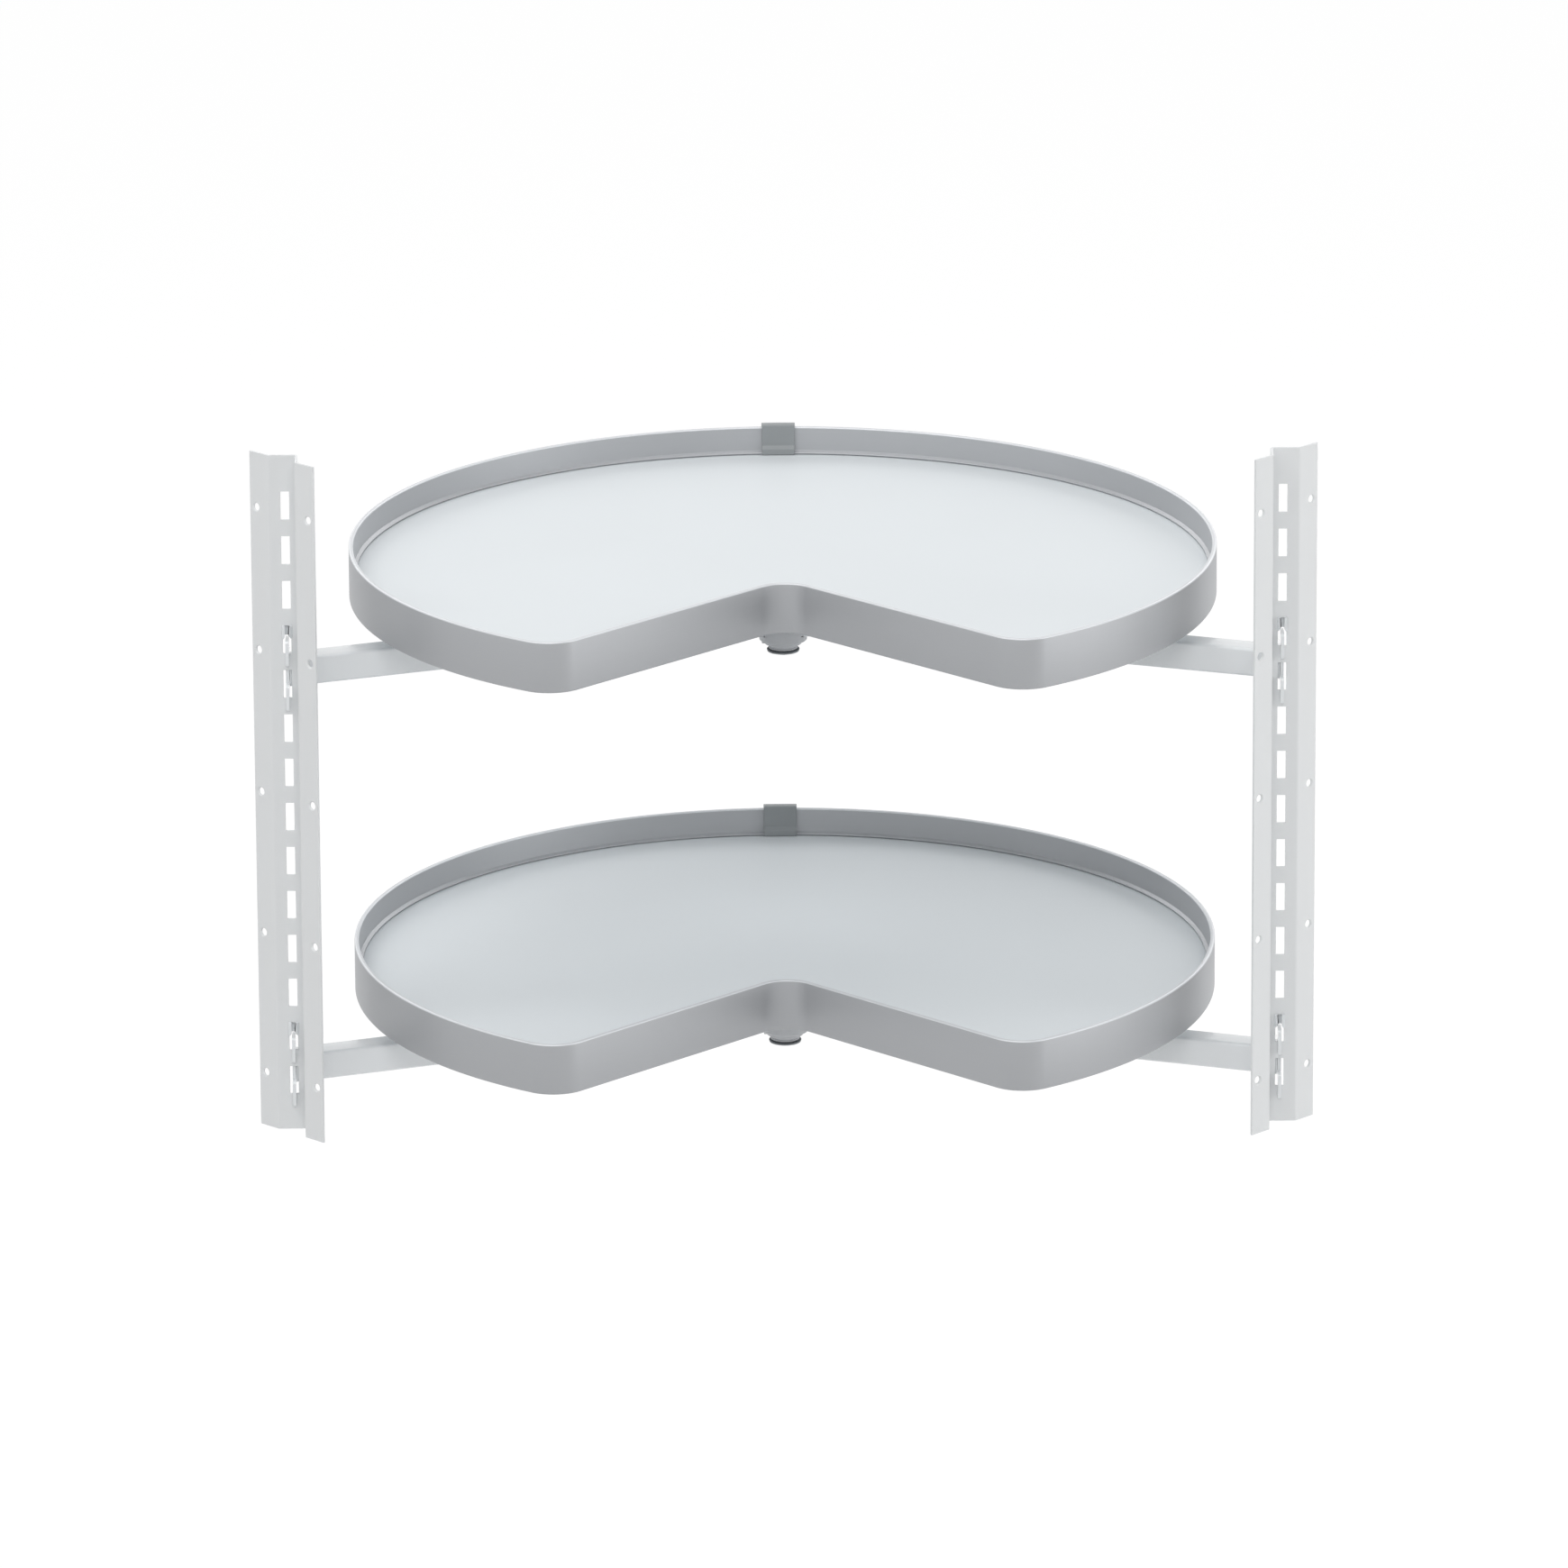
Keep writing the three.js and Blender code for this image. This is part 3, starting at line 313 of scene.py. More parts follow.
@dataclass
class NodeTree:
    """Adds nodes to the node tree of a material or of the world."""

    tree: bpy.types.NodeTree

    def feed(self, node: bpy.types.Node, inputs: dict[str | int, object]) -> bpy.types.Node:
        """Sets or connects the inputs of a node.

        Args:
            node: The node.
            inputs: A value, or another node's output, for each input's name or number.

        Returns:
            The node.
        """
        for key, source in inputs.items():
            if isinstance(source, bpy.types.NodeSocket):
                self.tree.links.new(source, node.inputs[key])
            else:
                node.inputs[key].default_value = source
        return node

    def add(self, kind: str, inputs: dict[str | int, object], **settings: str) -> bpy.types.Node:
        """Adds a node.

        Args:
            kind: Its type.
            inputs: What feeds its inputs.
            settings: Its own settings, by name.

        Returns:
            The node.
        """
        node = self.tree.nodes.new(kind)
        for name, value in settings.items():
            setattr(node, name, value)
        return self.feed(node, inputs)

    def math(self, operation: str, *values: object) -> bpy.types.NodeSocket:
        """Returns the output of a new sum of numbers or other nodes' outputs."""
        return self.add("ShaderNodeMath", dict(enumerate(values)), operation=operation).outputs[0]

    def mixed(self, share: bpy.types.NodeSocket, first: object, second: object) -> bpy.types.NodeSocket:
        """Returns the output of a new mix of two colours, given as such or by other nodes."""
        node = self.add("ShaderNodeMix", {"Factor": share, "A": first, "B": second}, data_type="RGBA")
        return node.outputs["Result"]

    def noise(self, where: bpy.types.NodeSocket, scale: float, detail: float) -> bpy.types.NodeSocket:
        """Returns the output of a new noise texture."""
        inputs = {"Vector": where, "Scale": scale, "Detail": detail}
        return self.add("ShaderNodeTexNoise", inputs).outputs["Fac"]

    def shown(self) -> bpy.types.NodeSocket:
        """Adds a test for the rays that show the background.

        Returns:
            An output that is 1 for the camera's, mirrored and transmitted rays.
        """
        path = self.add("ShaderNodeLightPath", {})
        total = path.outputs["Is Camera Ray"]
        for ray in ("Is Glossy Ray", "Is Transmission Ray"):
            total = self.math("MAXIMUM", total, path.outputs[ray])
        return total


@dataclass(frozen=True)
class Finish:
    """A finish: its colour, gloss and the fine relief that shows close up, and where asked a painted
    highlight along an edge.

    Attributes:
        name: Name of the material.
        colour: Screen colour, 0 to 255.
        grain: Layout of the relief.
        metallic: 0 for paint and plastic, 1 for bare metal.
        roughness: Mean roughness.
        variation: Share by which the colour drifts over the surface.
        scale: Relief features in a metre.
        relief: Height of the relief, in metres.
        coat: Weight of the clear coat on top.
        painted_highlight_band: Range of V, in metres, where the edge is painted bright as a highlight of the
            lamps, or None.
    """

    name: str
    colour: tuple[int, int, int]
    grain: Grain
    metallic: float = 0.0
    roughness: float = 0.45
    variation: float = 0.03
    scale: float = 700.0
    relief: float = 0.00002
    coat: float = 0.0
    painted_highlight_band: tuple[float, float] | None = None

    def material(self) -> bpy.types.Material:
        """Makes the finish's material, or finds the one made before.

        Returns:
            The material.
        """
        material = bpy.data.materials.get(self.name)
        if material is None:
            material = bpy.data.materials.new(self.name)
            material.use_nodes = True
            self._dress(NodeTree(material.node_tree))
        return material

    def _dress(self, tree: NodeTree) -> None:
        """Gives the material's shader its colour, gloss and relief, and paints the highlight band where one
        is given.

        Args:
            tree: The material's nodes.
        """
        place = tree.add("ShaderNodeTexCoord", {})
        drift = tree.noise(place.outputs["Object"], DRIFT_SCALE, DRIFT_DETAIL)
        height = self._relief(tree, place)
        wide = tree.math("MULTIPLY", drift, DRIFT_SHARE)
        share = tree.math("MULTIPLY_ADD", height, 1.0 - DRIFT_SHARE, wide)
        dark, pale = [linear([value * (1 + sign * self.variation) for value in self.colour])
                      for sign in (-1, 1)]
        colour = tree.mixed(share, dark, pale)
        # Paints a pale highlight on the band, in place of the lamps' sheen on the rim's top edge.
        if self.painted_highlight_band is not None:
            colour = tree.mixed(self._in_painted_highlight(tree, place), colour, linear(PAINTED_HIGHLIGHT))
        gloss = tree.add("ShaderNodeMapRange", {"Value": drift, "To Min": self.roughness - GLOSS_RANGE,
                                                "To Max": self.roughness + GLOSS_RANGE})
        bump = tree.add("ShaderNodeBump", {"Strength": 1.0, "Distance": self.relief, "Height": height})
        tree.feed(tree.tree.nodes["Principled BSDF"], {
            "Base Color": colour, "Metallic": self.metallic, "Roughness": gloss.outputs["Result"],
            "Coat Weight": self.coat, "Coat Roughness": COAT_ROUGHNESS, "Normal": bump.outputs["Normal"]})

    def _in_painted_highlight(self, tree: NodeTree, place: bpy.types.Node) -> bpy.types.NodeSocket:
        """Adds the nodes that find the edge where a highlight is painted.

        Args:
            tree: The material's nodes.
            place: Its texture coordinates.

        Returns:
            An output that is 1 within the painted highlight's band, with soft borders.
        """
        low, high = self.painted_highlight_band
        v = tree.add("ShaderNodeSeparateXYZ", {"Vector": place.outputs["UV"]}).outputs["Y"]
        borders = ((low - PAINTED_HIGHLIGHT_BORDER, low), (high + PAINTED_HIGHLIGHT_BORDER, high))
        steps = [tree.add("ShaderNodeMapRange", {"Value": v, "From Min": start, "From Max": end})
                 for start, end in borders]
        return tree.math("MULTIPLY", *[step.outputs["Result"] for step in steps])

    def _relief(self, tree: NodeTree, place: bpy.types.Node) -> bpy.types.NodeSocket:
        """Adds the nodes of the relief.

        Args:
            tree: The material's nodes.
            place: Its texture coordinates.

        Returns:
            An output that gives the relief's height, 0 to 1.
        """
        where = place.outputs["Object"]
        if self.grain is Grain.PEEL:
            return tree.noise(where, self.scale, RELIEF_DETAIL)
        if self.grain is Grain.DRAWN:
            stretch = tree.add("ShaderNodeMapping", {"Vector": place.outputs["UV"],
                                                     "Scale": (DRAWN_SCALE, self.scale, 1.0)})
            return tree.noise(stretch.outputs["Vector"], 1.0, RELIEF_DETAIL)
        if self.grain is Grain.TURNED:
            rings = tree.add("ShaderNodeTexWave", {"Vector": where, "Scale": self.scale,
                                                   "Distortion": RING_WAVE, "Detail": RELIEF_DETAIL},
                             wave_type="RINGS", rings_direction="Z")
            return rings.outputs["Fac"]
        cells = tree.add("ShaderNodeTexVoronoi", {"Vector": where, "Scale": self.scale})
        if self.grain is Grain.PEBBLE:
            cells.feature = "SMOOTH_F1"
            return cells.outputs["Distance"]
        return tree.add("ShaderNodeRGBToBW", {"Color": cells.outputs["Color"]}).outputs["Val"]


POST_COAT = Finish("post_powder_coat", (225, 227, 228), Grain.PEEL, roughness=0.4, variation=0.008)
BAR_COAT = Finish("bar_powder_coat", (229, 232, 234), Grain.PEEL, roughness=0.32, variation=0.008,
                  coat=1.0)
BOARD_FACING = Finish("board_facing", (219, 224, 227), Grain.PEBBLE, roughness=0.45, variation=0.008,
                      scale=1500.0, relief=0.000012)
# The rim's top edge, V 44.8 to 49.8 mm, gets a painted highlight in place of the lamps' sheen.
RIM_SILVER = Finish("rim_satin_silver_painted_highlight", (169, 171, 174), Grain.DRAWN, metallic=0.36, roughness=0.45,
                    variation=0.02, scale=1400.0, relief=0.000006, painted_highlight_band=(0.0448, 0.0498))
CLIP_GREY = Finish("clip_grey_plastic", (142, 146, 148), Grain.PEBBLE, roughness=0.5, variation=0.02,
                   scale=2200.0)
LOCK_PALE = Finish("lock_pale_plastic", (228, 231, 233), Grain.PEBBLE, roughness=0.45, variation=0.02,
                   scale=2200.0)
ZINC_PLATE = Finish("plate_zinc", (190, 192, 195), Grain.SPANGLE, metallic=0.85, roughness=0.38,
                    variation=0.05, scale=160.0, relief=0.000008)
BRIGHT_STEEL = Finish("steel_bright", (200, 202, 205), Grain.TURNED, metallic=1.0, roughness=0.2,
                      variation=0.02, scale=900.0, relief=0.000006)
DULL_STEEL = Finish("steel_dull_zinc", (192, 194, 197), Grain.TURNED, metallic=0.15, roughness=0.42,
                    variation=0.03, scale=700.0, relief=0.000008)
BUSH_DARK = Finish("bush_dark_plastic", (104, 108, 112), Grain.PEBBLE, roughness=0.55, variation=0.03,
                   scale=2400.0)


# ---------------------------------------------------------------- pieces


@dataclass
class Bench:
    """Makes Blender objects from surfaces and hands them to the frame.

    Attributes:
        sharp: Angle above which an edge stays sharp.
        bevel_above: Angle above which an edge is softened.
    """

    sharp: float = math.radians(32.0)
    bevel_above: float = math.radians(40.0)

    def piece(self, surface: Surface, node: str, body: str, slot: str, finish: Finish,
              bevel: float = 0.0) -> None:
        """Makes the piece that stands for a CAD node, and dresses it.

        Args:
            surface: The piece's surface, in its place.
            node: The CAD node that it replaces, which gives its name.
            body: The body that it rides on.
            slot: The record's material slot. Not used.
            finish: Its finish.
            bevel: Width of the softened edges, in millimetres, or 0 for none.
        """
        mesh = self.mesh(surface, f"{node}_skin")
        piece = bpy.data.objects.new(f"{node}_skin", mesh)
        bpy.context.scene.collection.objects.link(piece)
        mesh.materials.append(finish.material())
        if bevel > 0.0:
            soften = piece.modifiers.new("soft_edges", "BEVEL")
            soften.width = bevel * MM
            soften.segments = 3
            soften.limit_method = "ANGLE"
            soften.angle_limit = self.bevel_above
            even = piece.modifiers.new("flat_faces", "WEIGHTED_NORMAL")
            even.keep_sharp = True
        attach(piece, body)
        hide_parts(node)
        LOG.info("%s on %s: %d points", piece.name, body, len(mesh.vertices))

    def mesh(self, surface: Surface, name: str) -> bpy.types.Mesh:
        """Makes a mesh in metres, with doubles merged, faces outwards and sharp edges marked.

        Args:
            surface: The surface in millimetres.
            name: Name of the mesh.

        Returns:
            The mesh.
        """
        mesh = bpy.data.meshes.new(name)
        mesh.from_pydata((surface.points * MM).tolist(), [], surface.faces)
        if surface.uv is not None:
            layer = mesh.uv_layers.new(name="along")
            layer.data.foreach_set("uv", surface.uv.astype(np.float32).ravel())
        work = bmesh.new()
        work.from_mesh(mesh)
        bmesh.ops.remove_doubles(work, verts=work.verts, dist=MERGE_DISTANCE)
        bmesh.ops.dissolve_degenerate(work, edges=work.edges, dist=MERGE_DISTANCE)
        bmesh.ops.recalc_face_normals(work, faces=work.faces)
        work.to_mesh(mesh)
        work.free()
        mesh.polygons.foreach_set("use_smooth", np.ones(len(mesh.polygons), bool))
        mesh.set_sharp_from_angle(angle=self.sharp)
        return mesh

    def fused(self, surfaces: Sequence[Surface], holes: Sequence[Surface] = ()) -> Surface:
        """Joins closed surfaces that run into each other into one closed skin, and drills it.

        Args:
            surfaces: The surfaces. The first one is added to.
            holes: Closed surfaces that are taken out of it.

        Returns:
            The joined surface.
        """
        made = []
        for number, surface in enumerate([*surfaces, *holes]):
            shape = bpy.data.objects.new(f"shape_{number}", self.mesh(surface, f"shape_{number}"))
            bpy.context.scene.collection.objects.link(shape)
            made.append(shape)
        for number, other in enumerate(made[1:], 1):
            step = made[0].modifiers.new(other.name, "BOOLEAN")
            step.operation = "UNION" if number < len(surfaces) else "DIFFERENCE"
            step.solver = "EXACT"
            step.object = other
        whole = made[0].evaluated_get(bpy.context.evaluated_depsgraph_get()).to_mesh()
        points = np.empty(len(whole.vertices) * 3)
        whole.vertices.foreach_get("co", points)
        faces = [list(polygon.vertices) for polygon in whole.polygons]
        joined = Surface(points.reshape(-1, 3) / MM, faces)
        for shape in made:
            mesh = shape.data
            bpy.data.objects.remove(shape)
            bpy.data.meshes.remove(mesh)
        return joined


@dataclass
class WallPost:
    """A folded sheet post with its hook slots and screw holes.

    Attributes:
        wall_reach: Distance of the left wall from the axis.
        setback: Distance of the post's middle from the axis, along that wall.
        slot_to_ridge: Distance of the slots' middle from the ridge, before it is rounded.
        hole_cell: Half the width of the square that is filled round each screw hole.
    """

    side: Side
    wall_reach: float = 425.6
    setback: float = 185.6
    length: float = 610.0
    sheet: float = 2.0
    fold: float = 1.5
    flange: float = 22.5
    ridge: float = 17.0
    slots: int = 14
    slot_pitch: float = 40.0
    slot_width: float = 7.5
    slot_height: float = 25.0
    slot_to_ridge: float = 9.6
    holes: int = 5
    hole_pitch: float = 128.0
    hole_diameter: float = 6.6
    sink_diameter: float = 8.4
    sink_depth: float = 0.9
    hole_to_edge: float = 7.5
    hole_cell: float = 5.6
    cell_lines: int = 9
    fold_steps: int = 10

    @property
    def middle(self) -> np.ndarray:
        """Place of the section's middle on the left wall, in plan."""
        return -self.wall_reach * INTO_CABINET - self.setback * ALONG_WALL

    @property
    def leg_front(self) -> float:
        """Y of the slotted leg's front face, which ends at the ridge."""
        return float((self.middle + self.ridge * INTO_CABINET)[1])

    def section(self) -> tuple[np.ndarray, np.ndarray, np.ndarray]:
        """Works out the wall side of the folded section.

        It is a line with five corners, (along the wall, into the cabinet), rounded at its three folds. Where
        the fold turns away from the wall side, its radius is larger by the sheet.

        Returns:
            The section's points, its unit normals into the cabinet and the length along it at each point.
        """
        half, wide = self.ridge + self.flange, self.fold + self.sheet
        corners = [(-half, 0.0, 0.0), (-self.ridge, 0.0, wide), (0.0, self.ridge, self.fold),
                   (self.ridge, 0.0, wide), (half, 0.0, 0.0)]
        line = rounded(corners, self.fold_steps, closed=False)
        run = np.gradient(line, axis=0)
        ahead = np.diff(line, axis=0)
        steps = np.linalg.norm(ahead, axis=1, keepdims=True)
        ahead /= steps
        run[1:-1] = ahead[:-1] + ahead[1:]
        run[0], run[-1] = ahead[0], ahead[-1]
        run /= np.linalg.norm(run, axis=1, keepdims=True)
        normal = np.stack([-run[:, 1], run[:, 0]], axis=1)
        return line, normal, np.concatenate([[0.0], np.cumsum(steps)])

    def _heights(self, count: int, pitch: float) -> np.ndarray:
        """Returns the heights of a row of slots or holes, about the post's middle."""
        return self.length / 2 + (np.arange(count) - (count - 1) / 2) * pitch

    def _hole_centres(self, total: float) -> np.ndarray:
        """Returns the screw holes' centres in the flat pattern, for a section of the given length."""
        columns = np.array([self.hole_to_edge, total - self.hole_to_edge])
        rows = self._heights(self.holes, self.hole_pitch)
        return np.stack(np.meshgrid(columns, rows, indexing="ij"), axis=-1).reshape(-1, 2)

    def flat_pattern(self, length: np.ndarray) -> tuple[np.ndarray, np.ndarray]:
        """Lays out the unfolded sheet: a grid of cells with slots left out and a star of cells at each hole.

        Args:
            length: Lengths along the section at its own points.

        Returns:
            The points, as (length along the section, height) rows, and the corners of the faces.
        """
        holes = self._hole_centres(length[-1])
        cell = np.linspace(-self.hole_cell, self.hole_cell, self.cell_lines)
        ridge_arc = self.fold_steps + 2
        slot = length[ridge_arc] - (self.slot_to_ridge - self.fold * math.tan(EIGHTH_TURN))
        heights = self._heights(self.slots, self.slot_pitch)
        slots = np.column_stack([np.full(self.slots, slot), heights])
        half = np.array([self.slot_width, self.slot_height]) / 2
        lines = [np.unique(np.round(np.concatenate([
            own, (holes[:, k, None] + cell).ravel(), slots[:, k] - half[k], slots[:, k] + half[k]]), 5))
            for k, own in enumerate((length, np.array([0.0, self.length])))]
        grid = np.stack(np.meshgrid(*lines, indexing="ij"), axis=-1).reshape(-1, 2)
        cells = quads(len(lines[0]), len(lines[1]), False, False)
        centre = grid[cells].mean(axis=1)[:, None]
        gone = ((np.abs(centre - slots) < half).all(axis=2).any(axis=1)
                | (np.abs(centre - holes) < self.hole_cell).all(axis=2).any(axis=1))
        star, star_faces = self._hole_star(cell)
        starts = len(grid) + np.arange(len(holes)) * len(star)
        points = np.concatenate([grid, (holes[:, None] + star).reshape(-1, 2)])
        faces = np.concatenate([cells[~gone], (starts[:, None, None] + star_faces).reshape(-1, 4)])
        _, first, inverse = np.unique(np.round(points, 4), axis=0, return_index=True, return_inverse=True)
        return points[first], inverse.ravel()[faces]

    def _hole_star(self, cell: np.ndarray) -> tuple[np.ndarray, np.ndarray]:
        """Fills the square round a hole: points step evenly from the square's edge to the circle.

        Args:
            cell: The grid lines that cross the square, about its middle.

        Returns:
            The points about the hole's centre, and the corners of the faces.
        """
        side, reach = cell[:-1], cell[-1]
        edge = np.full(len(side), reach)
        square = np.concatenate([np.stack([side, -edge], 1), np.stack([edge, side], 1),
                                 np.stack([-side, edge], 1), np.stack([-edge, -side], 1)])
        hole = units(np.arctan2(square[:, 1], square[:, 0])) * self.hole_diameter / 2
        share = np.array([0.0, 0.5, 1.0])[:, None, None]
        rings = square[None] * (1 - share) + hole[None] * share
        return rings.reshape(-1, 2), quads(len(share), len(square), False, True)

    def surface(self) -> Surface:
        """Folds the flat pattern, gives it its thickness and stands it against the wall.

        Every point of the pattern is read off the section at its length, once on the wall side and once a
        sheet further along the normal. Edges with a face on one side only get a wall between the two skins.
        The screw holes' edges are spread to the sink's diameter on the wall side, and their walls run from
        there to the hole's own diameter at the sink's depth and straight on to the front.

        Returns:
            The post's closed surface.
        """
        line, normal, length = self.section()
        flat, cells = self.flat_pattern(length)
        edges = np.concatenate([cells[:, [k, (k + 1) % 4]] for k in range(4)])
        _, first, count = np.unique(np.sort(edges, axis=1), axis=0, return_index=True, return_counts=True)
        border = edges[first[count == 1]]
        holes = self._hole_centres(length[-1])
        nearest = holes[np.linalg.norm(flat[:, None] - holes, axis=2).argmin(axis=1)]
        on_hole = np.linalg.norm(flat - nearest, axis=1) < self.hole_diameter / 2 + 0.01
        share = self.sink_diameter / self.hole_diameter
        sunk = np.where(on_hole[:, None], nearest + (flat - nearest) * share, flat)
        rim, shift = np.flatnonzero(on_hole), len(flat)
        deep = np.full(shift, -1)
        deep[rim] = 2 * shift + np.arange(len(rim))
        round_hole = on_hole[border].all(axis=1)
        plain, drilled = border[~round_hole], border[round_hole]
        faces = np.vstack([cells, cells[:, ::-1] + shift, self._strip(plain, plain + shift),
                           self._strip(drilled, deep[drilled]), self._strip(deep[drilled], drilled + shift)])
        at, height = np.vstack([sunk, flat, flat[rim]]).T
        depth = np.repeat([0.0, self.sheet, self.sink_depth], [shift, shift, len(rim)])
        forward, inside, out_forward, out_inside = [np.interp(at, length, column)[:, None]
                                                    for column in (*line.T, *normal.T)]
        depth = depth[:, None]
        plan = (self.middle + (forward + out_forward * depth) * ALONG_WALL
                + (inside + out_inside * depth) * INTO_CABINET)
        shell = Surface(np.column_stack([plan, height]), faces.tolist())
        return shell if self.side is Side.LEFT else shell.mirrored()

    @staticmethod
    def _strip(first: np.ndarray, second: np.ndarray) -> np.ndarray:
        """Returns the faces between two rows of edges."""
        return np.stack([first[:, 1], first[:, 0], second[:, 0], second[:, 1]], axis=1)

    def build(self, bench: Bench) -> None:
        """Makes the post."""
        bench.piece(self.surface(), f"{self.side.value}_post", "frame", "post", POST_COAT, bevel=0.3)


@dataclass
class HookArm:
    """A level's crossbar with the hook plate and the lock clip at each end.

    Attributes:
        level: The level.
        height: Height of the crossbar's centre line.
        slot_x: Distance of the slots from the middle plane.
        leg_front: Y of the slotted leg's front face.
        below_slot: Height of the upper slot's middle above the crossbar's centre line.
        drop: Reach of a hook's tip below its slot.
        neck: Height of a hook where it goes through its slot.
        plate_head: Depth of the plate behind the post, above and below the crossbar.
        plate_lap: Reach of the plate above and below the crossbar, and again to the slanted edges' ends.
        plate_spare: Reach of the plate below the lower slot, and behind the crossbar.
        clip_head_front: Half the span of the clip's outer and inner head at their front.
        clip_head_lap: Reach of the heads past their necks' ends, and below the plate's top.
        clip_lap: Reach of the clip's body above the slot and beside the plate.
        clip_rib: Height of the grip behind the clip's body, its reach, and its reach into the body.
        overlap: Reach of the necks into heads and body.
    """

    level: Level
    height: float
    slot_x: float
    leg_front: float
    sheet: float = 2.0
    bar: float = 25.0
    bar_wall: float = 2.0
    bar_corner: float = 2.6
    bend_radius: float = 230.0
    below_slot: float = 31.0
    slot_pitch: float = 40.0
    slot_height: float = 25.0
    plate: float = 3.0
    plate_head: float = 12.0
    plate_lap: float = 3.0
    plate_spare: tuple[float, float] = (4.5, 1.7)
    leg_depth: float = 5.0
    drop: float = 11.0
    neck: float = 11.9
    clip_fork: float = 3.4
    clip_span: float = 9.2
    clip_head: float = 3.0
    clip_head_front: tuple[float, float] = (4.3, 2.8)
    clip_head_lap: tuple[float, float] = (0.5, 0.8)
    clip_body: tuple[float, float] = (13.0, 6.0)
    clip_lap: float = 4.0
    clip_rib: tuple[float, float, float] = (2.2, 5.0, 1.0)
    overlap: float = 0.5
    clip_leg: float = 2.3
    prong_width: float = 1.8
    fork_foot: float = 3.9
    bearing_hole: float = 10.3
    bend_rings: int = 40
    corner_steps: int = 5

    @property
    def plate_front(self) -> float:
        """Y of the hook plate's front edge, just behind the slotted leg."""
        return self.leg_front + self.sheet + GAP

    @property
    def bar_angle(self) -> float:
        """Angle of the bar's straight ends, so that their front faces meet the plates' front edges."""
        across, ahead = self.slot_x - self.plate / 2 - GAP, self.plate_front + self.bend_radius
        return math.atan2(across, ahead) - math.acos((self.bend_radius - self.bar / 2)
                                                     / math.hypot(ahead, across))

    def crossbar(self, bench: Bench) -> Surface:
        """Carries the tube's rounded square along straight, bend and straight, outside and back inside.

        Args:
            bench: Drills the tube for the bearing.

        Returns:
            The tube's closed surface.
        """
        outer = self._bar_rings(self.bar, self.bar_corner)
        inner = self._bar_rings(self.bar - 2 * self.bar_wall, self.bar_corner - self.bar_wall)
        tube = swept(np.concatenate([outer, inner[::-1]]), closed=True)
        return bench.fused([tube], [pin((0.0, 0.0), self.bearing_hole, -self.bar, self.bar)])

    def _bar_rings(self, size: float, corner: float) -> np.ndarray:
        """Works out one skin of the crossbar, from its right end to its left end.

        A point of the section lies `across` from the centre line, so it runs on a circle of radius
        bend_radius + across, and then on that circle's tangent to the plane of the bar's end.

        Args:
            size: Width of the skin's square.
            corner: Rounding of its corners.

        Returns:
            The rings, of shape (rings, points in a ring, 3).
        """
        half, end, angle = size / 2, self.slot_x - self.plate / 2 - GAP, self.bar_angle
        square = rounded([(half, half), (-half, half), (-half, -half), (half, -half)], self.corner_steps,
                         corner)
        radius, up = self.bend_radius + square[:, 0], square[:, 1]
        turn = np.linspace(angle, -angle, self.bend_rings + 1)[:, None]
        bend = np.stack([radius * np.sin(turn), radius * np.cos(turn) - self.bend_radius,
                         np.broadcast_to(up, (len(turn), len(up)))], axis=-1)
        right, left = [np.stack([np.full(len(up), side * end),
                                 ring[:, 1] - (end - np.abs(ring[:, 0])) * math.tan(angle), up], axis=-1)
                       for side, ring in ((1, bend[0]), (-1, bend[-1]))]
        return np.concatenate([right[None], bend, left[None]])

    def hook_plate(self) -> Surface:
        """Draws the left plate's outline in Y and Z, two hooks and a broad back, and gives it its thickness.

        Returns:
            The plate's closed surface.
        """
        front, inner = self.plate_front, self.leg_front - GAP
        outer, head = inner - self.leg_depth, front + self.plate_head
        below, behind = self.plate_spare
        back = front + self.bar / math.cos(self.bar_angle) + behind
        half, shoulder = self.slot_height / 2, self.bar / 2 + self.plate_lap
        lower = self.below_slot - self.slot_pitch
        foot, top = lower - half - below, self.below_slot - half + GAP + self.neck
        rows = [(head, foot, 2.0), (front, foot, 1.0)]
        for slot in (lower, self.below_slot):
            seat, tip = slot - half + GAP, slot - half - self.drop
            rows += [(front, seat, 0.0), (inner, seat, 0.2), (inner, tip, 0.8), (outer, tip, 2.2),
                     (outer, seat + self.neck, 2.6), (front, seat + self.neck, 0.0)]
        rows += [(head, top, 2.0), (head, shoulder + self.plate_lap, 2.0), (back, shoulder, 2.0),
                 (back, -shoulder, 2.0), (head, -shoulder - self.plate_lap, 2.0)]
        centre = -self.slot_x
        return carried(rounded(rows, 5), 0, centre - self.plate / 2, centre + self.plate / 2)

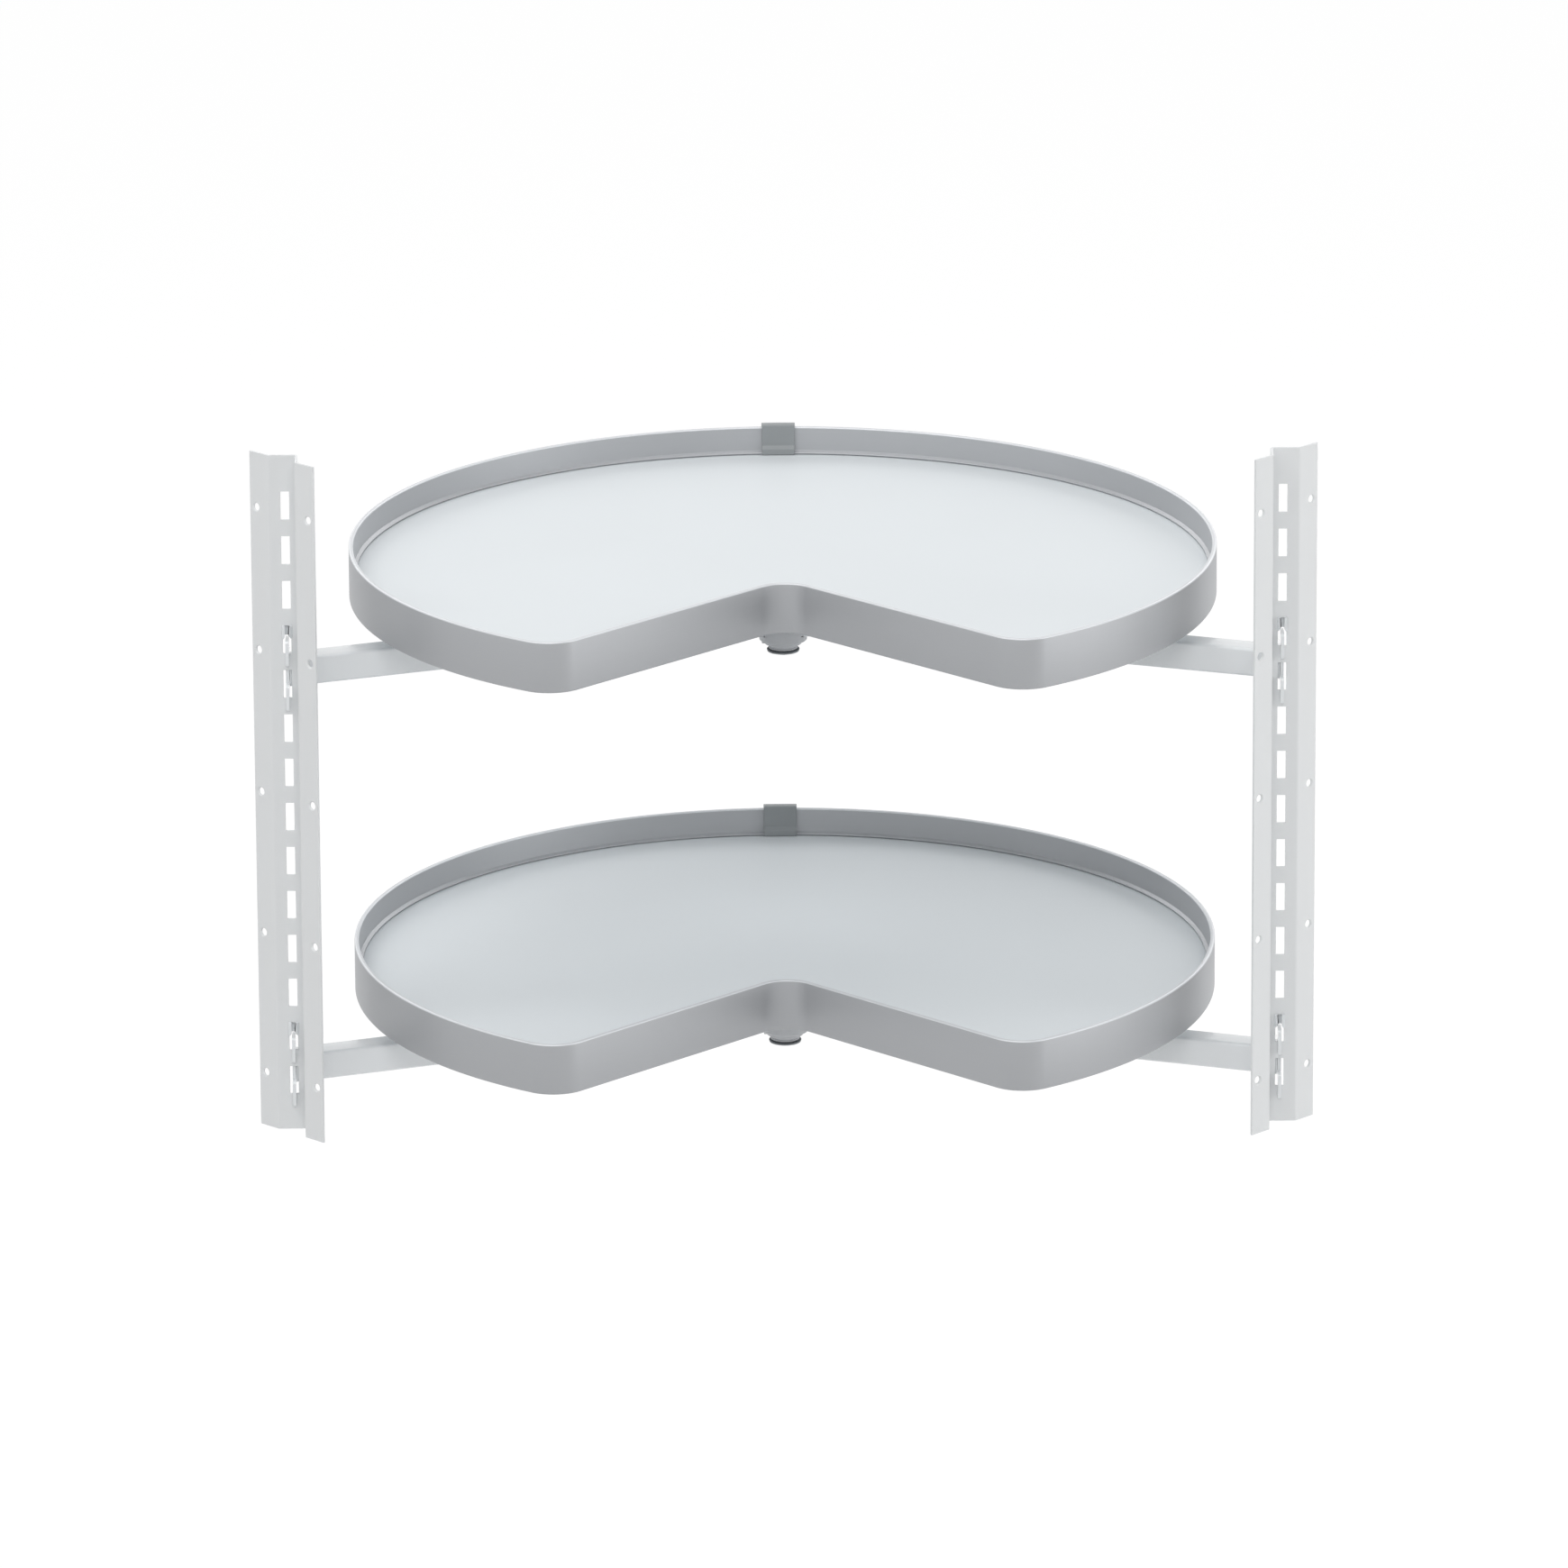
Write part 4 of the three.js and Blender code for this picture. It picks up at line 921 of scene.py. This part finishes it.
    def lock_clip(self, bench: Bench) -> Surface:
        """Joins the left clip's body behind the post with its two prongs and their barbed, rounded heads.

        Args:
            bench: Joins the shells.

        Returns:
            The clip's closed surface.
        """
        plate_top = self.below_slot - self.slot_height / 2 + GAP + self.neck
        slot_top = self.below_slot + self.slot_height / 2
        width, depth = self.clip_body
        edge, half, leg = width / 2, self.clip_fork / 2, width / 2 - self.clip_leg
        fork, front, leg_face = plate_top + self.fork_foot, self.plate_front, self.leg_front - GAP
        low, high, rear = plate_top - self.clip_lap, slot_top + self.clip_lap, front + depth
        (rib_height, rib_reach, rib_root), (lap, barb) = self.clip_rib, self.clip_head_lap
        arch = [(-edge, low, 0.6), (-leg, low, 0.3), (-leg, plate_top, 0.6), (-half, fork, 0.8),
                (half, fork, 0.8), (leg, plate_top, 0.6), (leg, low, 0.3), (edge, low, 0.6),
                (edge, high, 1.5), (-edge, high, 1.5)]
        rib = box_corners(-edge, high - rib_height, edge, high)
        shells = [carried(rounded(arch, 5), 1, front, rear),
                  carried(rounded(rib, 3, 0.6), 1, rear - rib_root, rear + rib_reach)]
        for side, flat in zip((-1, 1), self.clip_head_front):
            near, far = side * half, side * (half + self.prong_width)
            neck = [(near, fork), (far, plate_top + GAP), (far, slot_top - GAP), (near, slot_top - GAP)]
            shells.append(carried(rounded(neck, 2, 0.3), 1, leg_face - self.overlap, front + self.overlap))
            fore, aft = [rounded([(near, fork - lap, 0.4), (reach, plate_top - barb, 0.9),
                                  (reach, slot_top + lap, 1.0), (near, slot_top + lap, 0.6)], 5)
                         for reach in (side * flat, side * self.clip_span / 2)]
            shells.append(carried(fore, 1, leg_face - self.clip_head, leg_face, aft))
        return bench.fused(shells).moved((-self.slot_x, 0.0, 0.0))

    def build(self, bench: Bench) -> None:
        """Makes the crossbar, the hook plates and the lock clips.

        Args:
            bench: Makes the pieces.
        """
        level = self.level.value
        bar = self.crossbar(bench).raised(self.height)
        bench.piece(bar, f"{level}_crossbar", "frame", "bar", BAR_COAT)
        ends = (("hook_plate", self.hook_plate(), "bar", BAR_COAT, 0.35),
                ("lock_clip", self.lock_clip(bench), "lock", LOCK_PALE, 0.25))
        for side in Side:
            for part, shape, slot, finish, bevel in ends:
                placed = shape.raised(self.height)
                placed = placed if side is Side.LEFT else placed.mirrored()
                bench.piece(placed, f"{level}_{side.value}_{part}", "frame", slot, finish, bevel)


@dataclass
class Tray:
    """A level's tray: board, rim and the clip over the rim's joint.

    Attributes:
        level: The level.
        height: Height of the crossbar's centre line.
        notch_depth: Distance of the corner where the notch's sides meet from the axis.
        board_low: Height of the board's underside above the crossbar's centre line.
        bead_slope: Fall of the bead's top.
        joint: Gap between the rim's two ends.
        edge_flat: Width of the board's edge that is laid out with the rim.
        clip_drop: Reach of the joint's clip down the rim's outer face.
        clip_wall: Thickness of the clip outside the rim, and inside and above it.
        clip_over_bead: Thickness of the clip on the bead, and height at which it leaves the rim.
    """

    level: Level
    height: float
    radius: float = 379.5
    notch_depth: float = 126.2
    notch_radius: float = 26.3
    corner: float = 33.2
    board: float = 16.0
    board_low: float = 31.0
    floor_depth: float = 25.0
    rim_height: float = 45.2
    rim_wall: float = 4.0
    bead_width: float = 3.0
    bead_height: float = 3.0
    bead_slope: float = 1.6
    lip_width: float = 7.0
    lip: float = 2.2
    joint: float = 0.6
    edge_flat: float = 9.0
    pilot: float = 2.6
    pilot_depth: float = 9.7
    screw_circle: float = 62.0
    screws: int = 4
    clip_half: float = 15.0
    clip_drop: float = 30.0
    clip_wall: tuple[float, float] = (1.8, 2.6)
    clip_over_bead: tuple[float, float] = (2.2, 4.8)
    arc_steps: int = 150
    corner_steps: int = 28
    notch_steps: int = 24
    clip_steps: int = 12

    @property
    def board_top(self) -> float:
        """Height of the floor above the crossbar's centre line."""
        return self.board_low + self.board

    @property
    def rim_top(self) -> float:
        """Height of the rim's top above the crossbar's centre line."""
        return self.board_top + self.floor_depth

    def outline(self, gap: float = 0.0) -> tuple[np.ndarray, np.ndarray]:
        """Works out the outer face in plan: back arc, corner arc, straight side and notch arc, and back.

        The corner's centre lies a corner radius inside the notch's side and radius - corner from the axis.
        Along each arc the inward normal points at the arc's centre, or away from it in the notch.

        Args:
            gap: Width left open at the back, where the strip's ends meet.

        Returns:
            The points and the inward unit normals, both of shape (n, 2), from the back round the left side.
        """
        from_side = self.corner - self.notch_depth / ROOT2
        along_side = math.sqrt((self.radius - self.corner) ** 2 - from_side**2)
        corner = np.array([from_side + along_side, from_side - along_side]) / ROOT2
        corner_angle = math.atan2(corner[1], corner[0])
        notch = np.array([0.0, -self.notch_depth - self.notch_radius * ROOT2])
        start = QUARTER_TURN - gap / 2 / self.radius
        parts = []
        for centre, radius, first, last, steps, inward in (
                (np.zeros(2), self.radius, start, corner_angle, self.arc_steps, -1.0),
                (corner, self.corner, corner_angle, -3 * EIGHTH_TURN, self.corner_steps, -1.0),
                (notch, self.notch_radius, EIGHTH_TURN, QUARTER_TURN, self.notch_steps, 1.0)):
            spoke = units(np.linspace(first, last, steps + 1))
            parts.append(np.concatenate([centre + radius * spoke, inward * spoke], axis=1))
        parts[1] = parts[1][1:]
        right = np.concatenate(parts)
        left = right * np.array([-1.0, 1.0, -1.0, 1.0])
        whole = np.concatenate([left, right[:-1][::-1]])
        return whole[:, :2], whole[:, 2:]

    def rim(self) -> Surface:
        """Carries the rim's section round the outline.

        Returns:
            The rim's closed surface, from joint to joint.
        """
        top, foot = self.rim_top, self.rim_top - self.rim_height
        floor, lip_top = self.board_top + GAP, self.board_low - GAP
        bead_top, lip_low = floor + self.bead_height, lip_top - self.lip
        wall, bead, lip = self.rim_wall, self.rim_wall + self.bead_width, self.rim_wall + self.lip_width
        section = rounded([
            (0.0, foot, 1.2), (0.0, top, 1.3), (wall, top, 1.3), (wall, bead_top, 0.5),
            (bead, bead_top - self.bead_slope, 0.8), (bead, floor, 0.8), (wall, floor, 0.0),
            (wall, lip_top, 0.0), (lip, lip_top, 0.5), (lip, lip_low, 0.5), (wall, lip_low, 0.5),
            (wall, foot, 0.8)], 4)
        return swept(carried_round(*self.outline(self.joint), section))

    def floor(self, bench: Bench) -> Surface:
        """Carries the board's rounded edge round the outline, inside the rim, and closes top and foot.

        Args:
            bench: Drills the board's pilot holes for the plate screws.

        Returns:
            The board's closed surface.
        """
        plan, inward = self.outline()
        inset, low, top = self.rim_wall + GAP, self.board_low, self.board_top
        edge = rounded([(inset + self.edge_flat, low, 0.0), (inset, low, 0.5), (inset, top, 0.5),
                        (inset + self.edge_flat, top, 0.0)], 3)
        points = carried_round(plan[:-1], inward[:-1], edge)
        count, size = points.shape[:2]
        foot = np.arange(count) * size
        faces = [*quads(count, size, True, False).tolist(), (foot + size - 1).tolist(), foot.tolist()[::-1]]
        board = Surface(points.reshape(-1, 3), faces)
        pilots = [pin(place, self.pilot, low - OVERSHOOT, low + self.pilot_depth)
                  for place in screw_places(self.screw_circle, self.screws)]
        return bench.fused([board], pilots)

    def joint_clip(self) -> Surface:
        """Carries the clip's section along the back of the rim.

        Returns:
            The clip's closed surface.
        """
        over = self.rim_top + GAP
        foot = self.board_top + GAP
        bead_top = foot + self.bead_height + GAP
        wall = self.rim_wall + GAP
        bead = wall + self.bead_width
        low, outer, inner = self.rim_top - self.clip_drop, -GAP - self.clip_wall[0], wall + self.clip_wall[1]
        top, (thick, slant) = over + self.clip_wall[1], self.clip_over_bead
        section = rounded([
            (-GAP, over, 0.4), (-GAP, low, 0.4), (outer, low, 0.7), (outer, top, 1.6), (inner, top, 1.4),
            (inner, bead_top + slant, 1.0), (bead + thick, bead_top + thick, 1.0), (bead + thick, foot, 0.6),
            (bead, foot, 0.2), (bead, bead_top, 0.2), (wall, bead_top, 0.2), (wall, over, 0.4)], 4)
        along = np.linspace(-self.clip_half, self.clip_half, self.clip_steps + 1)
        spoke = units(QUARTER_TURN + along / self.radius)
        return swept(carried_round(self.radius * spoke, -spoke, section))

    def build(self, bench: Bench) -> None:
        """Makes the tray's rim, floor and joint clip.

        Args:
            bench: Makes the pieces.
        """
        level = self.level.value
        for shape, part, slot, finish, bevel in (
                (self.rim(), "tray_rim", "rim", RIM_SILVER, 0.0),
                (self.floor(bench), "tray_board", "board", BOARD_FACING, 0.0),
                (self.joint_clip(), "rim_joint_clip", "clip", CLIP_GREY, 0.5)):
            bench.piece(shape.raised(self.height), f"{level}_{part}", f"{level}_tray", slot, finish, bevel)


@dataclass
class Bearing:
    """A level's bearing: what turns with the tray, what stays on the crossbar and what clamps it.

    Triples with two heights are (radius, low, high). Heights are above the crossbar's centre line.

    Attributes:
        level: The level.
        height: Height of that centre line.
        race: Inner radius, outer radius and thickness.
        cage: Reach beyond the balls, and half the thickness.
        plate_edge: Width and depth of the tray plate's turned-down edge.
        screw_head: A plate screw's head: radius at its foot and at the plate, height, height of its slant.
        screw_shank: Radius, and reach of the straight part and of the point above the plate's foot.
        cup_lip: Height of the support flange's edge before and behind the crossbar.
        cup_room: Reach of the crossbar's room in front of it, and past the flange.
        tab: Half the length, half the width, and how much lower it is than the lock ring on each side.
        nut_groove: Depth and half the width.
        top_bush, drill, end_screw_shank, socket, screw_socket: Radius, and thickness, depth or length.
    """

    level: Level
    height: float
    spindle: float = 7.0
    tube: tuple[float, float] = (8.5, 10.0)
    tube_foot: float = -26.0
    bar_top: float = 12.5
    race: tuple[float, float, float] = (9.5, 18.0, 2.0)
    lower_race: float = 15.1
    ball_height: float = 19.5
    ball: float = 2.1
    balls: int = 8
    cage: tuple[float, float] = (1.2, 0.8)
    upper_race: float = 21.9
    top_bush: tuple[float, float] = (17.0, 2.0)
    bush_neck: float = 12.0
    flange: tuple[float, float, float] = (22.0, 24.2, 27.4)
    plate: tuple[float, float, float] = (80.0, 27.7, 30.7)
    plate_edge: tuple[float, float] = (3.0, 4.0)
    screw_circle: float = 62.0
    screws: int = 4
    screw_hole: float = 2.6
    support: tuple[float, float, float] = (21.0, -18.0, -12.8)
    cup_lip: float = 6.3
    cup_chamfer: float = 0.8
    cup_round: float = 0.8
    cup_room: tuple[float, float] = (1.2, 5.0)
    lock: tuple[float, float, float] = (16.25, -21.3, -18.3)
    tab: tuple[float, float, float] = (2.4, 2.5, 0.2)
    nut: tuple[float, float, float] = (12.9, -26.0, -21.6)
    nut_chamfer: float = 0.9
    nut_groove: tuple[float, float] = (0.8, 0.5)
    bush: tuple[float, float, float] = (14.3, -27.1, -26.3)
    washer: tuple[float, float, float] = (14.0, -28.4, -27.4)
    end_screw_head: tuple[float, float, float] = (6.9, -30.6, -28.7)
    end_screw_shank: tuple[float, float] = (4.0, 17.4)
    drill: tuple[float, float] = (4.3, 18.0)
    socket: tuple[float, float] = (3.0, 1.2)
    screw_head: tuple[float, float, float, float] = (3.6, 4.6, 2.6, 1.3)
    screw_socket: tuple[float, float] = (1.3, 1.4)
    screw_shank: tuple[float, float, float] = (2.3, 9.7, 12.0)

    @property
    def bore(self) -> float:
        """Radius of what goes round the bearing tube."""
        return self.tube[1] + GAP

    def still_shapes(self, bench: Bench) -> list[tuple[str, Surface, str, Finish]]:
        """Works out the pieces that stay with the crossbar.

        Args:
            bench: Joins the shells of a piece.

        Returns:
            Rows of node name, surface, slot and finish.
        """
        inner, outer = self.tube
        neck, free = inner - GAP, self.spindle + GAP
        race_in, race_out, race_thick = self.race
        top, (top_radius, top_thick) = self.bar_top + GAP, self.top_bush
        top_bush = [(free, top - self.bush_neck), (neck, top - self.bush_neck), (neck, top),
                    (top_radius, top), (top_radius, top + top_thick), (free, top + top_thick)]
        radius, low, high = self.bush
        foot_bush = [(free, low), (radius, low), (radius, high), (neck, high),
                     (neck, high + self.bush_neck), (free, high + self.bush_neck)]
        return [
            ("bearing_tube", flat_ring(inner, outer, self.tube_foot, self.bar_top), "steel", BRIGHT_STEEL),
            ("top_bush", turned(top_bush, 0.3), "bush", BUSH_DARK),
            ("bottom_bush", turned(foot_bush, 0.2), "bush", BUSH_DARK),
            ("lower_race", flat_ring(race_in, race_out, self.lower_race, self.lower_race + race_thick),
             "steel", BRIGHT_STEEL),
            ("ball_cage", self._cage(bench), "steel", BRIGHT_STEEL),
            ("support_flange", self._cup(bench), "support", DULL_STEEL),
            ("lock_ring", self._lock_ring(bench), "support", DULL_STEEL),
            ("clamp_nut", self._nut(), "steel", DULL_STEEL),
        ]

    def _nut(self) -> Surface:
        """Turns the round nut with a groove about its middle.

        Returns:
            The nut's surface.
        """
        radius, low, high = self.nut
        middle, slant, (deep, half) = (low + high) / 2, self.nut_chamfer, self.nut_groove
        return turned([(self.bore, low), (radius - slant, low), (radius, low + slant),
                       (radius, middle - half), (radius - deep, middle), (radius, middle + half),
                       (radius, high), (self.bore, high)], 0.2)

    def _lock_ring(self, bench: Bench) -> Surface:
        """Joins the lock ring with its tab, on the left.

        Args:
            bench: Joins the two.

        Returns:
            The ring's surface.
        """
        (radius, low, high), (reach, half, thinner) = self.lock, self.tab
        outline = rounded(box_corners(-radius - reach, -half, -radius + reach, half), 4, 0.8)
        tab = carried(outline, 2, low + thinner, high - thinner)
        return bench.fused([flat_ring(self.bore, radius, low, high, 0.35), tab])

    def _cup(self, bench: Bench) -> Surface:
        """Turns the flange under the crossbar, whose rounded edge also rises before and behind the bar.

        Args:
            bench: Takes the bar's room out of the turned shape.

        Returns:
            The flange's surface.
        """
        (radius, low, high), (in_front, past), slant = self.support, self.cup_room, self.cup_chamfer
        side, lip = radius + past, high + self.cup_lip
        edge = rounded([(self.bore, low, 0.3), (radius - slant, low, 0.5), (radius, low + slant, 0.5),
                        (radius, lip, self.cup_round), (self.bore, lip, 0.3)], 6)
        room = box_corners(-side, -self.bar_top - in_front, side, self.bar_top + GAP)
        return bench.fused([turned(edge, 0.0)], [carried(np.array(room), 2, high, lip + past)])

    def _cage(self, bench: Bench) -> Surface:
        """Joins the ball cage's ring with its balls, each a turned half circle.

        Args:
            bench: Joins the shells.

        Returns:
            The cage's surface.
        """
        middle, pitch = self.ball_height, (self.race[0] + self.race[1]) / 2
        reach, half = self.ball + self.cage[0], self.cage[1]
        shells = [flat_ring(pitch - reach, pitch + reach, middle - half, middle + half, 0.3)]
        side = self.ball * units(np.linspace(-QUARTER_TURN, QUARTER_TURN, 13)) + (0.0, middle)
        side[[0, -1], 0] = 0.0
        ball = turned(side, 0.0, 1, 24)
        for angle in np.arange(self.balls) * FULL_TURN / self.balls:
            shells.append(ball.moved((pitch * math.cos(angle), pitch * math.sin(angle), 0.0)))
        return bench.fused(shells)

    def turning_shapes(self, bench: Bench) -> list[tuple[str, Surface, str, Finish]]:
        """Works out the pieces that turn with the tray.

        Args:
            bench: Drills the plate's screw holes.

        Returns:
            Rows of node name, surface, slot and finish.
        """
        flange, flange_low, flange_high = self.flange
        disc, low, high = self.plate
        foot, stem, bore = self.bush[1], self.spindle, self.spindle + GAP
        drill, depth = self.drill
        spindle = [(0.0, foot + depth), (drill, foot + depth), (drill, foot), (stem, foot),
                   (stem, flange_low), (flange, flange_low), (flange, flange_high), (stem, flange_high),
                   (stem, high), (0.0, high)]
        rim, drop = disc - self.plate_edge[0], low - self.plate_edge[1]
        plate = [(bore, low), (rim, low), (rim, drop), (disc, drop), (disc, high), (bore, high)]
        race_in, race_out, race_thick = self.race
        washer, washer_low, washer_high = self.washer
        head, head_low, head_high = self.end_screw_head
        (shank, length), (socket, sunk) = self.end_screw_shank, self.socket
        end_screw = [(0.0, head_low + sunk), (socket, head_low + sunk), (socket, head_low),
                     (head, head_low), (head, head_high), (shank, head_high), (shank, foot + length),
                     (0.0, foot + length)]
        places = screw_places(self.screw_circle, self.screws)
        holes = [pin(place, self.screw_hole, low - OVERSHOOT, high + OVERSHOOT) for place in places]
        under, (thread, straight, point) = low - GAP, self.screw_shank
        (narrow, broad, tall, slant), (drive, deep) = self.screw_head, self.screw_socket
        screw = turned([(0.0, under - deep), (drive, under - deep), (drive, under - tall),
                        (narrow, under - tall), (broad, under - slant), (broad, under), (thread, under),
                        (thread, low + straight), (0.0, low + point)], 0.25, 2, 40)
        return [
            ("tray_plate", bench.fused([turned(plate, 0.8, 3, 144)], holes), "plate", ZINC_PLATE),
            ("spindle", turned(spindle, 0.4), "steel", BRIGHT_STEEL),
            ("upper_race", flat_ring(race_in, race_out, self.upper_race, self.upper_race + race_thick),
             "steel", BRIGHT_STEEL),
            ("end_washer", flat_ring(drill, washer, washer_low, washer_high, 0.3), "steel", DULL_STEEL),
            ("end_screw", turned(end_screw, 0.3, 3, 64), "steel", BRIGHT_STEEL),
            *[(f"plate_screw_{number}", screw.moved((*place, 0.0)), "steel", BRIGHT_STEEL)
              for number, place in enumerate(places, 1)],
        ]

    def build(self, bench: Bench) -> None:
        """Makes every piece of the bearing.

        Args:
            bench: Makes the pieces.
        """
        level = self.level.value
        for body, rows in (("frame", self.still_shapes(bench)),
                           (f"{level}_tray", self.turning_shapes(bench))):
            for part, shape, slot, finish in rows:
                bench.piece(shape.raised(self.height), f"{level}_{part}", body, slot, finish)


# ---------------------------------------------------------------- studio


def placed(x_axis: np.ndarray, y_axis: np.ndarray, z_axis: np.ndarray, place: Sequence[float]) -> Matrix:
    """Returns the matrix of an object with the given axes, at a place."""
    return Matrix([*np.column_stack([x_axis, y_axis, z_axis, place]).tolist(), [0.0, 0.0, 0.0, 1.0]])


@dataclass
class Studio:
    """The pale floor, the lamps, the world and the camera, in metres.

    Attributes:
        floor_colour: Share of light that the floor gives back.
        floor_glow: Share of white that the floor shows to the camera. The rest keeps the shadow.
        glow_strength: Strength of that white.
        aim: What every lamp faces.
        lamps: Name, place, diameter and power of each lamp.
    """

    floor_height: float = -1.0
    floor_size: float = 60.0
    floor_colour: float = 0.86
    floor_glow: float = 0.9
    glow_strength: float = 1.07
    world_light: float = 0.3
    azimuth: float = math.radians(-0.53989)
    elevation: float = math.radians(16.88902)
    roll: float = math.radians(0.29450)
    camera_place: tuple[float, float, float] = (-0.10105, -10.73393, 3.52234)
    focal_pixels: float = 14154.3
    frame_pixels: float = 1740.0
    film_width: float = 36.0
    aim: tuple[float, float, float] = (0.0, 0.0, 0.3)
    lamps: list[tuple[str, tuple[float, float, float], float, float]] = field(default_factory=lambda: [
        ("lamp_top", (-0.3, -0.3, 4.2), 4.0, 42.5),
        ("lamp_front", (0.0, -4.915, 3.741), 3.0, 80.9),
        ("lamp_front_left", (-3.234, -4.619, 2.352), 3.0, 24.1),
        ("lamp_right", (4.665, -1.25, 1.594), 3.0, 50.5),
        ("lamp_left", (-4.665, -1.25, 1.594), 3.0, 17.0),
        ("lamp_left_high", (-2.783, -1.607, 4.13), 2.5, 38.7),
        ("lamp_back_right", (2.165, 3.75, 2.8), 3.0, 47.7),
        ("lamp_back_left", (-2.165, 3.75, 2.8), 3.0, 47.1),
        ("lamp_low_right", (4.5, -1.0, 0.1), 3.2, 28.7),
    ])

    def camera(self) -> None:
        """Stands the camera where the photograph was taken from."""
        a, e, r = self.azimuth, self.elevation, self.roll
        look = np.array([-math.sin(a) * math.cos(e), math.cos(a) * math.cos(e), -math.sin(e)])
        right = np.array([math.cos(a), math.sin(a), 0.0])
        down = np.cross(look, right)
        data = bpy.data.cameras.new("camera")
        data.sensor_width = self.film_width
        data.sensor_fit = "HORIZONTAL"
        data.lens = self.focal_pixels * self.film_width / self.frame_pixels
        data.clip_end = 100.0
        camera = bpy.data.objects.new("camera", data)
        camera.matrix_world = placed(math.cos(r) * right + math.sin(r) * down,
                                     math.sin(r) * right - math.cos(r) * down, -look, self.camera_place)
        bpy.context.scene.collection.objects.link(camera)
        bpy.context.scene.camera = camera

    def light(self) -> None:
        """Hangs the soft lamps and lights the world evenly."""
        for name, place, size, power in self.lamps:
            data = bpy.data.lights.new(name, "AREA")
            data.shape = "DISK"
            data.size = size
            data.energy = power
            lamp = bpy.data.objects.new(name, data)
            away = np.array(place) - np.array(self.aim)
            away /= np.linalg.norm(away)
            side = np.cross([0.0, 1.0, 0.0], away)
            side /= np.linalg.norm(side)
            lamp.matrix_world = placed(side, np.cross(away, side), away, place)
            bpy.context.scene.collection.objects.link(lamp)
        world = bpy.data.worlds.new("studio")
        bpy.context.scene.world = world
        world.use_nodes = True
        tree, nodes, white = NodeTree(world.node_tree), world.node_tree.nodes, (1.0, 1.0, 1.0, 1.0)
        even = tree.feed(nodes["Background"], {"Color": white, "Strength": self.world_light})
        shown = tree.add("ShaderNodeBackground", {"Color": white, "Strength": 1.0})
        mix = tree.add("ShaderNodeMixShader", {"Fac": tree.shown(), 1: even.outputs[0],
                                               2: shown.outputs[0]})
        tree.feed(nodes["World Output"], {"Surface": mix.outputs[0]})

    def floor(self) -> None:
        """Lays the white floor, which keeps a soft share of the shadow."""
        half = self.floor_size / 2
        mesh = bpy.data.meshes.new("floor")
        mesh.from_pydata([(x, y, self.floor_height) for x, y in box_corners(-half, -half, half, half)], [],
                         [(0, 1, 2, 3)])
        material = bpy.data.materials.new("floor_white")
        material.use_nodes = True
        tree, nodes = NodeTree(material.node_tree), material.node_tree.nodes
        nodes.remove(nodes["Principled BSDF"])
        matt = tree.add("ShaderNodeBsdfDiffuse", {"Color": (*[self.floor_colour] * 3, 1.0)})
        glow = tree.add("ShaderNodeEmission", {"Strength": self.glow_strength})
        mix = tree.add("ShaderNodeMixShader", {"Fac": tree.math("MULTIPLY", tree.shown(), self.floor_glow),
                                               1: matt.outputs[0], 2: glow.outputs[0]})
        tree.feed(nodes["Material Output"], {"Surface": mix.outputs[0]})
        mesh.materials.append(material)
        floor = bpy.data.objects.new("floor", mesh)
        bpy.context.scene.collection.objects.link(floor)

    def build(self) -> None:
        """Sets the studio up."""
        self.camera()
        self.light()
        self.floor()
        bpy.context.scene.view_settings.view_transform = "Standard"


def main() -> None:
    """Builds the studio and every piece, placing the arms by the boxes of the CAD hook plate and crossbars.
    """
    logging.basicConfig(level=logging.INFO, format="%(name)s: %(message)s")
    Studio().build()
    bench = Bench()
    for side in Side:
        WallPost(side).build(bench)
    plate_low, plate_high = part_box("upper_left_hook_plate")
    slot_x = -(plate_low.x + plate_high.x) / 2 / MM
    leg_front = WallPost(Side.LEFT).leg_front
    for level in Level:
        low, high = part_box(f"{level.value}_crossbar")
        height = (low.z + high.z) / 2 / MM
        HookArm(level, height, slot_x, leg_front).build(bench)
        Tray(level, height).build(bench)
        Bearing(level, height).build(bench)
    bpy.context.view_layer.update()


if __name__ == "__main__":
    main()
